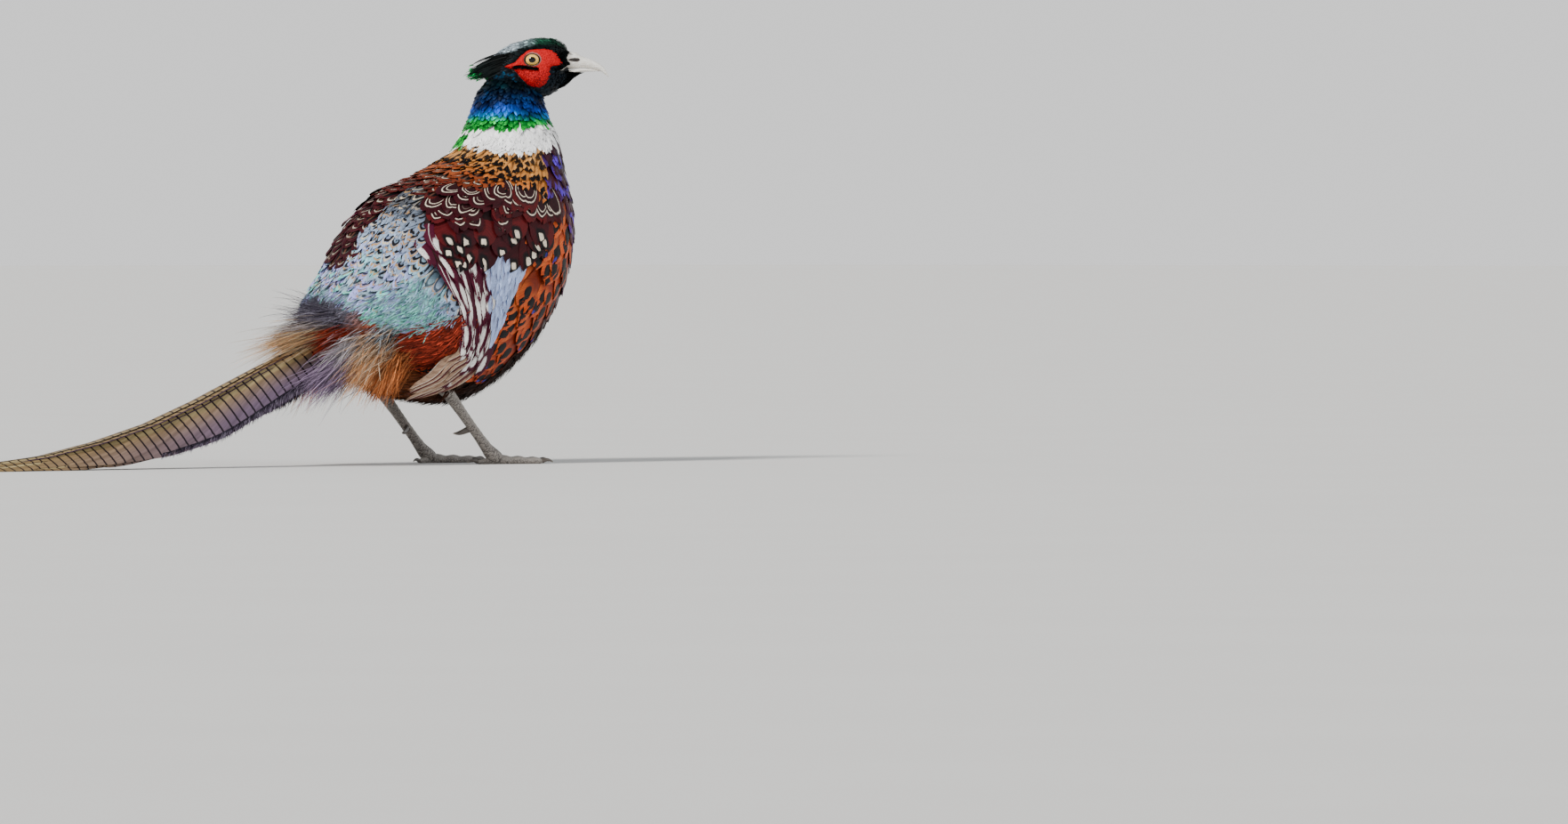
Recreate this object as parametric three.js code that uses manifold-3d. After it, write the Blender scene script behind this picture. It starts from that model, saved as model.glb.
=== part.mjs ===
// Life-size still model of a cock common pheasant, standing low and looking to its right.
// Millimetres. +X is the bird's front, +Y its left side, +Z up, and z = 0 is the floor.
import * as THREE from 'three'
import { mergeVertices } from 'three/addons/utils/BufferGeometryUtils.js'
import Module from 'manifold-3d'

const wasm = await Module()
wasm.setup()

// Driving dimensions
const gap = 0.3 // clear space between neighbouring pieces
const rad = Math.PI / 180

// Body sections from the tail root to the throat: back edge [x, z], belly edge [x, z], half width.
const bodySections = [
  { back: [-112, 100], belly: [-98, 74], half: 14 },
  { back: [-118, 118], belly: [-48, 52], half: 38 },
  { back: [-94, 145], belly: [12, 45], half: 54 },
  { back: [-67, 177], belly: [71.5, 77], half: 58.5 },
  { back: [-31, 201], belly: [109, 124], half: 58 },
  { back: [5, 216], belly: [121, 172], half: 51.5 },
  { back: [30, 228], belly: [114.5, 210], half: 42.5 },
  { back: [38, 240], belly: [111.5, 235], half: 35 },
  { back: [43, 250], belly: [105, 249], half: 30 },
  { back: [48.5, 265], belly: [100, 264], half: 25.5 },
  { back: [53.5, 280], belly: [98.5, 279], half: 21.5 },
]
const neckFrom = 6.2 // section where the torso ends and the neck starts
const headFrom = 8.95 // section where the neck ends and the head starts
const cut = 0.02 // step between two sections that leaves the gap between their nodes

// Long back feathers over the left wing's edge raise the body there: height, section span, angle span
const backRise = { high: 3, from: 1.9, to: 4.4, near: -4, far: 34 }

// The folded wing lies on the body between these two edges, each a [section, angle from the back].
// The left wing is held a little higher on the back than the right one.
const wingUpper = {
  right: [[4.62, 40], [4.3, 33], [3.7, 31], [3.0, 42], [2.7, 60], [2.45, 82]],
  left: [[4.62, 30], [4.3, 20], [3.7, 14], [3.1, 20], [2.75, 45], [2.45, 80]],
}
const wingLower = [[4.78, 70], [4.55, 88], [4.0, 93], [3.6, 96], [3.1, 102], [2.6, 111]]
// Past the body's widest part the flight feathers hang free: upper and lower edge, x, y on the left, z.
const wingTipUpper = [[-27, 56, 85], [-40, 54, 76], [-53, 51.5, 65], [-68, 49, 58.5]]
const wingTipLower = [[-7, 54, 72], [-22, 51, 62], [-39, 48, 54], [-71, 45, 45]]
// The left tip is tucked up behind the belly.
const leftTipShift = [8, 0, 14]
const wingDepth = 6 // how far the body is hollowed under the wing
const wingProud = 1.0 // how far the wing's core stands out from the body's outer surface
const wingTipThick = 1.2
const wingCoreEnd = 0.9 // the core stops here and the flight feathers go on to the tip
// Feathers of the wing in tiers: where each tier starts and how far it runs along the wing, the span
// across the wing that it fills, how many feathers, their half width and how far their tips lift
const wingTiers = [
  { from: 0.66, long: 0.34, span: [0.18, 0.88], count: 3, half: 7.6, lift: 0.9, steps: 3 },
  { from: 0.5, long: 0.36, span: [0.14, 0.88], count: 3, half: 8.4, lift: 1.3, steps: 3 },
  { from: 0.4, long: 0.28, span: [0.12, 0.9], count: 4, half: 7.2, lift: 1.8, steps: 2 },
  { from: 0.27, long: 0.17, span: [0.1, 0.92], count: 4, half: 8.6, lift: 2.2, steps: 2 },
  { from: 0.15, long: 0.17, span: [0.14, 0.9], count: 3, half: 9, lift: 2.2, steps: 2 },
  { from: 0.04, long: 0.15, span: [0.12, 0.9], count: 3, half: 9, lift: 2.2, steps: 2 },
]

// Tail: middle line of its upper side, x and z, from the root to the tip on the floor
const tailLine = [
  [-100, 91], [-146, 75], [-174, 66.5], [-200, 58], [-233, 47], [-280, 33], [-330, 21], [-380, 11.5], [-430, 5.8],
  [-480, 2.9], [-545, 1.2],
]
const tailCut = -338 // x where the tail's two nodes meet
const tailBlock = { from: -134, to: -190 } // where the fleshy root narrows and ends among the feathers
// Tail feathers in pairs, the middle pair on top: length, half width, spread and droop of each pair
const tailPairs = [
  { long: 452, half: 12.5, turn: 0.4, drop: 0, roll: 15 },
  { long: 400, half: 12, turn: 1.4, drop: 2.8, roll: 20 },
  { long: 300, half: 11.5, turn: 2.8, drop: 6.6, roll: 25 },
  { long: 236, half: 11, turn: 4.4, drop: 11, roll: 31 },
  { long: 170, half: 10.5, turn: 6.6, drop: 16, roll: 37 },
]
const tailRoof = 0.3 // how steeply each vane falls away from its shaft
const tailStart = 14 // how far along the middle line the feathers' roots lie, inside the fleshy root
// Coverts over the tail's root: side offset, turn outwards, length and how far they drop
const tailCoverts = [
  { side: 11, turn: 13, long: 58, drop: 13 },
  { side: 5, turn: 6, long: 72, drop: 12 },
  { side: -1, turn: 1, long: 80, drop: 16 },
  { side: -7, turn: -6, long: 66, drop: 20 },
  { side: -12, turn: -13, long: 50, drop: 22 },
]

// Head, in a frame with its origin midway between the eyes and its x axis along the bill
const headPlace = new THREE.Vector3(86, -12, 293.5)
const headTurn = -45 * rad
const headSections = [
  // x, top, bottom, half width
  [-35, -5, -12, 3],
  [-32, -1.5, -17.5, 8],
  [-26, 5, -22.5, 13],
  [-17, 11, -26, 16.2],
  [-8, 13.9, -27.5, 17.4],
  [0, 15.1, -27.5, 17],
  [10, 14.9, -26, 15.4],
  [17, 14.0, -22.6, 13.3],
  [22, 12.2, -18.5, 11],
  [25.5, 9.4, -14.5, 8.8],
  [27, 7.8, -12.2, 7.8],
]
const eyeRadius = 7.2
const eyeSide = 11.4 // how far an eye's middle is from the head's middle plane
const lidRing = 6.3
const lidThick = 1.15
const upperBill = [
  [27.3, 6.2, -7, 6.4],
  [32, 4.9, -6.5, 6],
  [39, 2.8, -6.6, 4.8],
  [43, 1.2, -6.8, 4.1],
  [47, -0.9, -6.9, 3.4],
  [50, -3.2, -7.3, 2.7],
  [53, -6.2, -9, 1.8],
  [55, -9.6, -11, 0.7],
]
const lowerBill = [
  [27.3, -7.5, -11.4, 5.6],
  [33, -7.3, -10.9, 5],
  [39, -7.2, -10, 4.1],
  [45, -7.3, -9.3, 3],
  [49, -7.7, -9, 2],
  [51, -8.2, -8.9, 0.8],
]
const nostril = { x: 32.5, z: 0.2, long: 4.2, high: 1, deep: 1.1 }
// Tufts behind the ears: height of the root, how far back and down the tip lies, and its half width
const earTufts = [
  { z: 4.5, back: 25, down: 13, out: 1.5, half: 2.6 },
  { z: 1, back: 23.5, down: 14.5, out: 3, half: 2.8 },
  { z: -3, back: 19, down: 13, out: 2.5, half: 2.6 },
]
const earRoot = { x: -18, y: 14 }
// Outline of the bare red skin round the eye, from its front top round by the bill to the rear point
const wattleOutline = [
  [9.5, 8.4], [14.8, 7.3], [19.2, 3.2], [22.2, -1.9], [21.3, -3.9], [15.5, -4.5], [13.3, -6.5], [13.5, -10.8],
  [11, -17.4], [5.2, -21.2], [-2.3, -19], [-8.2, -13.1], [-13.4, -7.1], [-21.5, -4.9], [-12.6, -1.9],
  [-8.2, 3.2], [-1.5, 6.9],
]
const wattleThick = 1.4

// Legs
const legSide = 35 // from the middle plane to each foot
const ankle = [-26, 57] // x, z
const footJoint = [20, 9]
const tarsusRadius = [5.2, 4.2, 3.6, 3.4, 3.6, 4.4]
const scuteCount = 8
const scuteRise = 0.55
const toes = [
  // name, angle out from straight ahead, length, radius at its root
  { name: 'inner', turn: 24, long: 33, thick: 3.1 },
  { name: 'middle', turn: 2, long: 46, thick: 3.4 },
  { name: 'outer', turn: -26, long: 35, thick: 3.1 },
  { name: 'hind', turn: 164, long: 15, thick: 2.6 },
]
const clawLength = 9

// Closed solids from rings of points
function geometryFrom(points, faces) {
  const geometry = new THREE.BufferGeometry()
  geometry.setAttribute('position', new THREE.Float32BufferAttribute(points.flatMap((p) => [p.x, p.y, p.z]), 3))
  geometry.setIndex(faces.flat())
  let volume = 0
  for (const [a, b, c] of faces) volume += points[a].dot(points[b].clone().cross(points[c]))
  if (volume < 0) geometry.setIndex(faces.flatMap(([a, b, c]) => [a, c, b]))
  return geometry
}

function loft(rings) {
  const count = rings[0].length
  const points = rings.flat()
  const faces = []
  for (let i = 0; i + 1 < rings.length; i++) {
    for (let j = 0; j < count; j++) {
      const a = i * count + j
      const b = i * count + ((j + 1) % count)
      faces.push([a, b, b + count], [a, b + count, a + count])
    }
  }
  for (const [ring, start, flip] of [[rings[0], 0, true], [rings.at(-1), (rings.length - 1) * count, false]]) {
    const middle = points.length
    points.push(ring.reduce((sum, p) => sum.add(p), new THREE.Vector3()).divideScalar(count))
    for (let j = 0; j < count; j++) {
      const a = start + j
      const b = start + ((j + 1) % count)
      faces.push(flip ? [a, middle, b] : [a, b, middle])
    }
  }
  return geometryFrom(points, faces)
}

// A shell between two grids of points with the same rows and columns
function shell(top, bottom) {
  const rows = top.length
  const columns = top[0].length
  const size = rows * columns
  const points = [...top.flat(), ...bottom.flat()]
  const faces = []
  const at = (i, j) => i * columns + j
  for (let i = 0; i + 1 < rows; i++) {
    for (let j = 0; j + 1 < columns; j++) {
      const [a, b, c, d] = [at(i, j), at(i, j + 1), at(i + 1, j + 1), at(i + 1, j)]
      faces.push([a, b, c], [a, c, d])
      faces.push([a + size, c + size, b + size], [a + size, d + size, c + size])
    }
  }
  const rim = []
  for (let j = 0; j + 1 < columns; j++) rim.push(at(0, j))
  for (let i = 0; i + 1 < rows; i++) rim.push(at(i, columns - 1))
  for (let j = columns - 1; j > 0; j--) rim.push(at(rows - 1, j))
  for (let i = rows - 1; i > 0; i--) rim.push(at(i, 0))
  rim.forEach((a, k) => {
    const b = rim[(k + 1) % rim.length]
    faces.push([a, a + size, b + size], [a, b + size, b])
  })
  return geometryFrom(points, faces)
}

// A feather: a tapered vane along a path, ridged like a roof along its shaft. The path gives the shaft's
// middle, the direction across the vane and the direction out from it.
function vane({ path, steps, half, thick, roof = 0, blunt = 0.5 }) {
  const top = []
  const under = []
  for (let i = 0; i <= steps; i++) {
    const u = Math.sin((Math.PI / 2) * (i / steps))
    const { middle, across, out } = path(u)
    const width = half * (0.6 + 0.4 * smooth(0, 0.3, u)) * Math.sqrt(1 - (Math.max(u - blunt, 0) / (1.04 - blunt)) ** 2)
    const row = [-1, 0, 1].map((k) => (
      middle.clone().addScaledVector(across, k * width).addScaledVector(out, -Math.abs(k) * roof * width)
    ))
    top.push(row)
    under.push(row.map((p) => p.clone().addScaledVector(out, -thick * (1 - 0.5 * u))))
  }
  return shell(top, under)
}

// Joining and cutting
function solid(geometry) {
  const plain = geometry.clone()
  for (const name of Object.keys(plain.attributes)) if (name !== 'position') plain.deleteAttribute(name)
  const merged = mergeVertices(plain, 1e-4)
  return new wasm.Manifold(new wasm.Mesh({
    numProp: 3,
    vertProperties: new Float32Array(merged.attributes.position.array),
    triVerts: new Uint32Array(merged.index.array),
  }))
}

function join(...geometries) {
  return geometries.map(solid).reduce((whole, piece) => whole.add(piece))
}

function largest(whole) {
  return whole.decompose().reduce((a, b) => (b.volume() > a.volume() ? b : a))
}

function geometryOf(whole) {
  const { vertProperties, triVerts, numProp } = largest(whole).getMesh()
  const geometry = new THREE.BufferGeometry()
  const positions = []
  for (let i = 0; i < vertProperties.length; i += numProp) positions.push(...vertProperties.slice(i, i + 3))
  geometry.setAttribute('position', new THREE.Float32BufferAttribute(positions, 3))
  geometry.setIndex([...triVerts])
  return geometry
}

// Curves through given values
function through(table, t) {
  const last = table.length - 1
  const i = Math.min(Math.max(Math.floor(t), 0), last - 1)
  const f = t - i
  const width = table[0].length
  const at = (k, n) => table[Math.min(Math.max(k, 0), last)][n]
  const value = (n) => {
    const [p1, p2] = [at(i, n), at(i + 1, n)]
    const p0 = i > 0 ? at(i - 1, n) : 2 * p1 - p2
    const p3 = i + 2 <= last ? at(i + 2, n) : 2 * p2 - p1
    return 0.5 * (2 * p1 + (p2 - p0) * f + (2 * p0 - 5 * p1 + 4 * p2 - p3) * f * f
      + (3 * p1 - p0 - 3 * p2 + p3) * f * f * f)
  }
  return Array.from({ length: width }, (_, n) => value(n))
}

function lineAt(table, x) {
  const rising = table[0][0] < table.at(-1)[0]
  const rows = rising ? table : [...table].reverse()
  if (x <= rows[0][0]) return rows[0][1]
  for (let i = 0; i + 1 < rows.length; i++) {
    if (x <= rows[i + 1][0]) {
      const f = (x - rows[i][0]) / (rows[i + 1][0] - rows[i][0])
      return rows[i][1] + f * (rows[i + 1][1] - rows[i][1])
    }
  }
  return rows.at(-1)[1]
}

const smooth = (low, high, x) => THREE.MathUtils.smoothstep(x, low, high)

// The body's outer surface. t runs from the tail root to the throat and phi from the back, in degrees,
// positive on the bird's left side. grow moves the point out along the surface's normal.
const sectionTable = bodySections.map(({ back, belly, half }) => [...back, ...belly, half])

function bodyPlain(t, phi) {
  const [bx, bz, ux, uz, half] = through(sectionTable, t)
  const power = 2 + 0.25 * THREE.MathUtils.clamp((6 - t) / 2, 0, 1)
  const [c, s] = [Math.cos(phi * rad), Math.sin(phi * rad)]
  const reach = (Math.abs(c) ** power + Math.abs(s) ** power) ** (-1 / power)
  const [mx, mz] = [(bx + ux) / 2, (bz + uz) / 2]
  return new THREE.Vector3(mx + ((bx - ux) / 2) * c * reach, half * s * reach, mz + ((bz - uz) / 2) * c * reach)
}

function bodyNormal(t, phi) {
  const end = bodySections.length - 1
  const along = bodyPlain(Math.min(t + 0.02, end), phi).sub(bodyPlain(Math.max(t - 0.02, 0), phi))
  const round = bodyPlain(t, phi + 0.5).sub(bodyPlain(t, phi - 0.5))
  return along.cross(round).normalize()
}

function bodyPoint(t, phi, grow = 0) {
  return bodyPlain(t, phi).addScaledVector(bodyNormal(t, phi), grow)
}

// How deep the body is hollowed for the wing at a place, tapering to nothing at the wing's edges
function wingHollow(t, phi) {
  const a = Math.abs(phi)
  const upper = phi < 0 ? wingUpper.right : wingUpper.left
  const inside = Math.min(a - lineAt(upper, t), lineAt(wingLower, t) - a)
  const ends = smooth(1.7, 2.4, t) * (1 - smooth(4.3, 4.8, t))
  return wingDepth * smooth(-3, 14, inside) * ends
}

// Long feathers that raise the left side of the back
function backLift(t, phi) {
  const { high, from, to, near, far } = backRise
  const across = smooth(near, near + 12, phi) * (1 - smooth(far - 12, far, phi))
  return high * across * smooth(from, from + 0.5, t) * (1 - smooth(to - 0.6, to, t))
}

function bodyRing(t, columns, grow = () => 0) {
  return Array.from({ length: columns }, (_, j) => {
    const phi = -180 + (360 * j) / columns
    return bodyPoint(t, phi, grow(t, phi))
  })
}

function bodyLoft(from, to, rows, columns, grow) {
  return loft(Array.from({ length: rows + 1 }, (_, i) => bodyRing(from + ((to - from) * i) / rows, columns, grow)))
}

// Thighs: feathered cones that run from the flank down and back to the ankle
function legLoft(line, side, sides, extra = 0) {
  return loft(line.map(({ at, radius, wide = 1 }, i) => {
    const before = line[Math.max(i - 1, 0)].at
    const after = line[Math.min(i + 1, line.length - 1)].at
    const along = new THREE.Vector2(after[0] - before[0], after[1] - before[1]).normalize()
    return Array.from({ length: sides }, (_, j) => {
      const a = (2 * Math.PI * j) / sides
      const r = radius + extra
      const up = r * Math.cos(a)
      return new THREE.Vector3(at[0] - along.y * up, side * legSide + wide * r * Math.sin(a), at[1] + along.x * up)
    })
  }))
}

const thighLine = [
  { at: [6, 84], radius: 8 },
  { at: [-4, 76], radius: 10.5 },
  { at: [-14, 67], radius: 10 },
  { at: [-22, 60], radius: 8 },
  { at: [-26.5, 56.5], radius: 6.6 },
]

// The tarsus has scutes down its front: each is a ring that stands proud and steps back to the next
function tarsusLine() {
  const line = []
  const steps = scuteCount
  for (let i = 0; i <= steps; i++) {
    for (const rise of i < steps ? [0, scuteRise] : [0]) {
      const f = Math.min((i + (rise > 0 ? 0.82 : 0)) / steps, 1)
      const [r] = through(tarsusRadius.map((v) => [v]), f * (tarsusRadius.length - 1))
      line.push({
        at: [ankle[0] + f * (footJoint[0] - ankle[0]), ankle[1] + f * (footJoint[1] - ankle[1])],
        radius: r + rise,
      })
    }
  }
  return line
}

function thigh(side) {
  return geometryOf(solid(legLoft(thighLine, side, 12)).subtract(ankleSocket(side)))
}

function ankleSocket(side) {
  return solid(legLoft(tarsusLine().map(({ at, radius }) => ({ at, radius: radius + gap * 1.3 })), side, 8))
    .add(solid(ball(ankle[0], side * legSide, ankle[1], ankleKnob + gap)))
}

const ankleKnob = 6.2

function ball(x, y, z, radius, across = 10, down = 5) {
  return new THREE.SphereGeometry(radius, across, down).rotateX(Math.PI / 2).translate(x, y, z)
}

function tarsus(side) {
  const spurRoot = new THREE.Vector3(3, side * (legSide - 2), 26)
  const spurTip = new THREE.Vector3(-8, side * (legSide - 8), 21)
  const spur = cone(spurRoot, spurTip, 2.6, 0.4, 6)
  return geometryOf(join(legLoft(tarsusLine(), side, 8), ball(ankle[0], side * legSide, ankle[1], ankleKnob), spur))
}

// A straight taper between two points
function cone(from, to, startRadius, endRadius, sides) {
  const along = to.clone().sub(from).normalize()
  const across = new THREE.Vector3(0, 0, 1).cross(along).normalize()
  const up = along.clone().cross(across)
  return loft([[from, startRadius], [to, endRadius]].map(([middle, radius]) => (
    Array.from({ length: sides }, (_, j) => {
      const a = (2 * Math.PI * j) / sides
      return middle.clone().addScaledVector(across, radius * Math.cos(a)).addScaledVector(up, radius * Math.sin(a))
    })
  )))
}

// Where a toe starts, which way it points, and a point along it
function toeFrame(toe, side) {
  const turn = toe.turn * rad * side
  const ahead = new THREE.Vector3(Math.cos(turn), -Math.sin(turn), 0)
  const root = new THREE.Vector3(footJoint[0] + 7, side * legSide, 0)
  return { ahead, root, across: new THREE.Vector3(-ahead.y, ahead.x, 0) }
}

function toeShape(toe, side) {
  const { ahead, root, across } = toeFrame(toe, side)
  const joints = toe.name === 'hind' ? 1 : 3
  const rings = []
  for (let i = 0; i <= joints * 2; i++) {
    const f = i / (joints * 2)
    const swell = i % 2 ? 1.08 : 0.9
    const radius = toe.thick * (1 - 0.35 * f) * swell
    const middle = root.clone().addScaledVector(ahead, f * toe.long)
    middle.z = radius * 0.82
    rings.push(Array.from({ length: 6 }, (_, j) => {
      const a = (2 * Math.PI * j) / 6
      return middle.clone().addScaledVector(across, radius * Math.cos(a)).add(new THREE.Vector3(0, 0, radius * Math.sin(a)))
    }))
  }
  return loft(rings)
}

function foot(side) {
  const ahead = new THREE.Vector3(footJoint[0] - ankle[0], 0, footJoint[1] - ankle[1]).normalize()
  const start = new THREE.Vector3(footJoint[0], side * legSide, footJoint[1]).addScaledVector(ahead, gap)
  const pad = new THREE.Vector3(footJoint[0] + 8, side * legSide, 5)
  const neck = loft([
    ringAcross(start, ahead, 4.4, 8),
    ringAcross(start.clone().addScaledVector(ahead, 4), ahead, 5, 8),
    ringAcross(pad, new THREE.Vector3(1, 0, -0.6).normalize(), 5, 8),
  ])
  const whole = join(neck, ball(pad.x, pad.y, pad.z - 0.6, 5.6), ...toes.map((toe) => toeShape(toe, side)))
  return geometryOf(whole.subtract(floorBlock()))
}

function ringAcross(middle, along, radius, sides) {
  const across = new THREE.Vector3(0, 1, 0)
  const up = along.clone().cross(across).normalize()
  return Array.from({ length: sides }, (_, j) => {
    const a = (2 * Math.PI * j) / sides
    return middle.clone().addScaledVector(across, radius * Math.cos(a)).addScaledVector(up, radius * Math.sin(a))
  })
}

function claw(toe, side) {
  const { ahead, root, across } = toeFrame(toe, side)
  const start = toe.long + gap
  const size = toe.thick * 0.56
  const rings = [[0, size, size + 0.1], [0.4, size * 0.8, size + 0.9], [1, 0.3, 0.6]]
  return loft(rings.map(([f, radius, height]) => {
    const middle = root.clone().addScaledVector(ahead, start + f * clawLength)
    middle.z = height
    return Array.from({ length: 6 }, (_, j) => {
      const a = (2 * Math.PI * j) / 6
      return middle.clone().addScaledVector(across, radius * Math.cos(a)).add(new THREE.Vector3(0, 0, radius * Math.sin(a)))
    })
  }))
}

// The wing's outer surface. s runs from the shoulder to the tip and q from the upper to the lower edge.
const onBody = wingLower.length - 1
const wingStations = onBody + wingTipUpper.length

function wingOnBody(side, station, q) {
  const [tu, pu] = through(side < 0 ? wingUpper.right : wingUpper.left, station)
  const [tl, pl] = through(wingLower, station)
  const [t, phi] = [tu + (tl - tu) * q, side * (pu + (pl - pu) * q)]
  return bodyPoint(t, phi, wingProud + backLift(t, phi))
}

function wingPlain(side, s, q) {
  const station = s * wingStations
  if (station <= onBody) return wingOnBody(side, station, q)
  const free = wingTipUpper.map((upper, i) => {
    const tuck = side > 0 ? (i + 1) / wingTipUpper.length : 0
    const [x, y, z] = upper.map((value, n) => value + (wingTipLower[i][n] - value) * q + tuck * leftTipShift[n])
    return [x, side * (y + 2.5 * Math.sin(Math.PI * q)), z]
  })
  const line = [wingOnBody(side, onBody - 1, q).toArray(), wingOnBody(side, onBody, q).toArray(), ...free]
  return new THREE.Vector3(...through(line, station - onBody + 1))
}

function wingOut(side, s, q) {
  const step = 0.01
  const along = wingPlain(side, Math.min(s + step, 1), q).sub(wingPlain(side, Math.max(s - step, 0), q))
  const down = wingPlain(side, s, q + step).sub(wingPlain(side, s, q - step))
  return along.cross(down).normalize().multiplyScalar(-side)
}

function wingPoint(side, s, q, grow = 0) {
  return wingPlain(side, s, q).addScaledVector(wingOut(side, s, q), grow)
}

function wingThickness(s) {
  const thin = 1 - smooth(0.5, 0.78, s)
  return wingTipThick + (wingDepth + wingProud + 1 - wingTipThick) * thin + 1.8 * (1 - smooth(0.78, 1, s))
}

function wingCore(side, rows = 16, columns = 5) {
  const grid = (depth) => Array.from({ length: rows + 1 }, (_, i) => (
    Array.from({ length: columns + 1 }, (_, j) => {
      const s = (wingCoreEnd * i) / rows
      return wingPoint(side, s, j / columns, -depth * wingThickness(s))
    })
  ))
  return shell(grid(0), grid(1))
}

// The root of each feather is sunk in the core and its tip lifts over the next tier
function wingFeather(side, tier, index) {
  const { from, long, span, count, half, lift, steps } = tier
  const q = span[0] + ((span[1] - span[0]) * (index + 0.5)) / count
  const overlap = 0.25 * ((index % 2) - 0.5)
  const place = (u) => wingPoint(side, from + long * u, q, -0.9 + lift * smooth(0, 0.5, u) + 0.5 * u + overlap)
  const path = (u) => {
    const step = 0.02
    const along = place(Math.min(u + step, 1)).sub(place(Math.max(u - step, 0))).normalize()
    const out = wingOut(side, Math.min(from + long * u, 1), q)
    const across = along.clone().cross(out).normalize()
    return { middle: place(u), across, out }
  }
  return vane({ path, steps, half, thick: 1.1, roof: 0.06, blunt: 0.55 })
}

function wing(side) {
  let whole = solid(wingCore(side))
  for (const tier of wingTiers) {
    for (let i = 0; i < tier.count; i++) whole = whole.add(solid(wingFeather(side, tier, i)))
  }
  return geometryOf(whole.subtract(torsoBody(gap)))
}

// Tail: a fleshy root at the body's end that carries the feathers
const tailSides = 14

function tailRing(x, half, thick, droop) {
  const z = lineAt(tailLine, x) - thick / 2
  return Array.from({ length: tailSides }, (_, j) => {
    const a = -Math.PI + (2 * Math.PI * j) / tailSides
    const [c, s] = [Math.cos(a), Math.sin(a)]
    return new THREE.Vector3(x, half * s, z + (thick / 2) * c - droop * s * s)
  })
}

function tailBase() {
  const back = bodyPlain(0, 0).sub(bodyPlain(0, 180)).normalize()
  const away = new THREE.Vector3(-back.z, 0, back.x)
  const start = bodyRing(0, tailSides, () => -0.4).map((p) => p.addScaledVector(away, gap))
  const { from, to } = tailBlock
  return loft([start, tailRing(from, 17, 16, 5), tailRing((from + to) / 2, 15, 10, 5), tailRing(to, 8, 4, 2)])
}

// A point on the tail's middle line at a distance along it, with the line's direction
const tailSteps = tailLine.map(([x, z], i) => {
  const [px, pz] = tailLine[Math.max(i - 1, 0)]
  return Math.hypot(x - px, z - pz)
})

function tailAt(distance) {
  let i = 1
  let left = distance
  while (i < tailLine.length - 1 && left > tailSteps[i]) left -= tailSteps[i++]
  const [x0, z0] = tailLine[i - 1]
  const [x1, z1] = tailLine[i]
  const f = left / tailSteps[i]
  return new THREE.Vector3(x0 + (x1 - x0) * f, 0, z0 + (z1 - z0) * f)
}

function tailFeather({ long, half, turn, drop, roll }, side) {
  const lowest = 0.8
  const place = (u) => {
    const p = tailAt(tailStart + u * long)
    p.y = side * (1.6 + drop * 0.6 + Math.tan(turn * rad) * u * long)
    p.z = Math.max(p.z - drop * (1 - 0.3 * u) - (side > 0 ? 0.5 : 0), lowest)
    return p
  }
  const path = (u) => {
    const step = 0.01
    const along = place(Math.min(u + step, 1)).sub(place(Math.max(u - step, 0))).normalize()
    const flat = new THREE.Vector3(0, 1, 0)
    const up = flat.clone().cross(along).normalize()
    const tilt = side * roll * rad * (1 - 0.75 * smooth(0.5, 1, (u * long) / 452))
    const out = up.multiplyScalar(Math.cos(tilt)).addScaledVector(flat, Math.sin(tilt))
    return { middle: place(u), across: along.clone().cross(out).normalize(), out: out.normalize() }
  }
  return vane({ path, steps: Math.round(2 + long / 120), half, thick: 1.2, roof: tailRoof, blunt: 0.25 })
}

function tailCovert({ side, turn, long, drop }) {
  const root = new THREE.Vector3(-117, side, 94 - Math.abs(side) * 0.35)
  const place = (u) => root.clone().add(new THREE.Vector3(
    -long * u * Math.cos(turn * rad),
    long * u * Math.sin(turn * rad),
    -drop * u - 3 * u * u,
  ))
  const path = (u) => {
    const along = place(Math.min(u + 0.05, 1)).sub(place(Math.max(u - 0.05, 0))).normalize()
    const across = new THREE.Vector3(0, 0, 1).cross(along).normalize()
    return { middle: place(u), across, out: along.clone().cross(across).normalize() }
  }
  return vane({ path, steps: 4, half: 5.5, thick: 1.2, roof: 0.1, blunt: 0.2 })
}

function tailWhole() {
  let whole = solid(tailBase())
  for (const pair of tailPairs) for (const side of [-1, 1]) whole = whole.add(solid(tailFeather(pair, side)))
  for (const covert of tailCoverts) whole = whole.add(solid(tailCovert(covert)))
  return whole.subtract(torsoBody(gap)).subtract(floorBlock())
}

// The tail is parted where it flattens out towards the floor
function tailPart(whole, front) {
  const block = new THREE.BoxGeometry(1000, 400, 400)
  block.translate(front ? tailCut - 500 : tailCut + 500 - gap, 0, 0)
  return geometryOf(whole.subtract(solid(block)))
}

function floorBlock() {
  return solid(new THREE.BoxGeometry(2000, 400, 40).translate(0, 0, -20))
}

// Head
function headRing([x, top, bottom, half], grow, sides) {
  const power = 2.15
  const middle = (top + bottom) / 2
  return Array.from({ length: sides }, (_, j) => {
    const a = (2 * Math.PI * j) / sides
    const [c, s] = [Math.cos(a), Math.sin(a)]
    const reach = (Math.abs(c) ** power + Math.abs(s) ** power) ** (-1 / power)
    return new THREE.Vector3(x, (half + grow) * s * reach, middle + ((top - bottom) / 2 + grow) * c * reach)
  })
}

function sectionLoft(sections, steps, grow = 0, sides = 16) {
  const end = sections.length - 1
  return loft(Array.from({ length: steps + 1 }, (_, i) => headRing(through(sections, (end * i) / steps), grow, sides)))
}

const headMatrix = new THREE.Matrix4().compose(
  headPlace,
  new THREE.Quaternion().setFromEuler(new THREE.Euler(0, 0, headTurn)),
  new THREE.Vector3(1, 1, 1),
)

function lidTorus(side) {
  const ring = new THREE.TorusGeometry(lidRing, lidThick, 5, 14)
  return ring.rotateX(Math.PI / 2).translate(0, side * (eyeSide + 5.2), 0)
}

function eyeSocket(side) {
  return solid(ball(0, side * eyeSide, 0, eyeRadius + gap, 12, 8))
}

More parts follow.
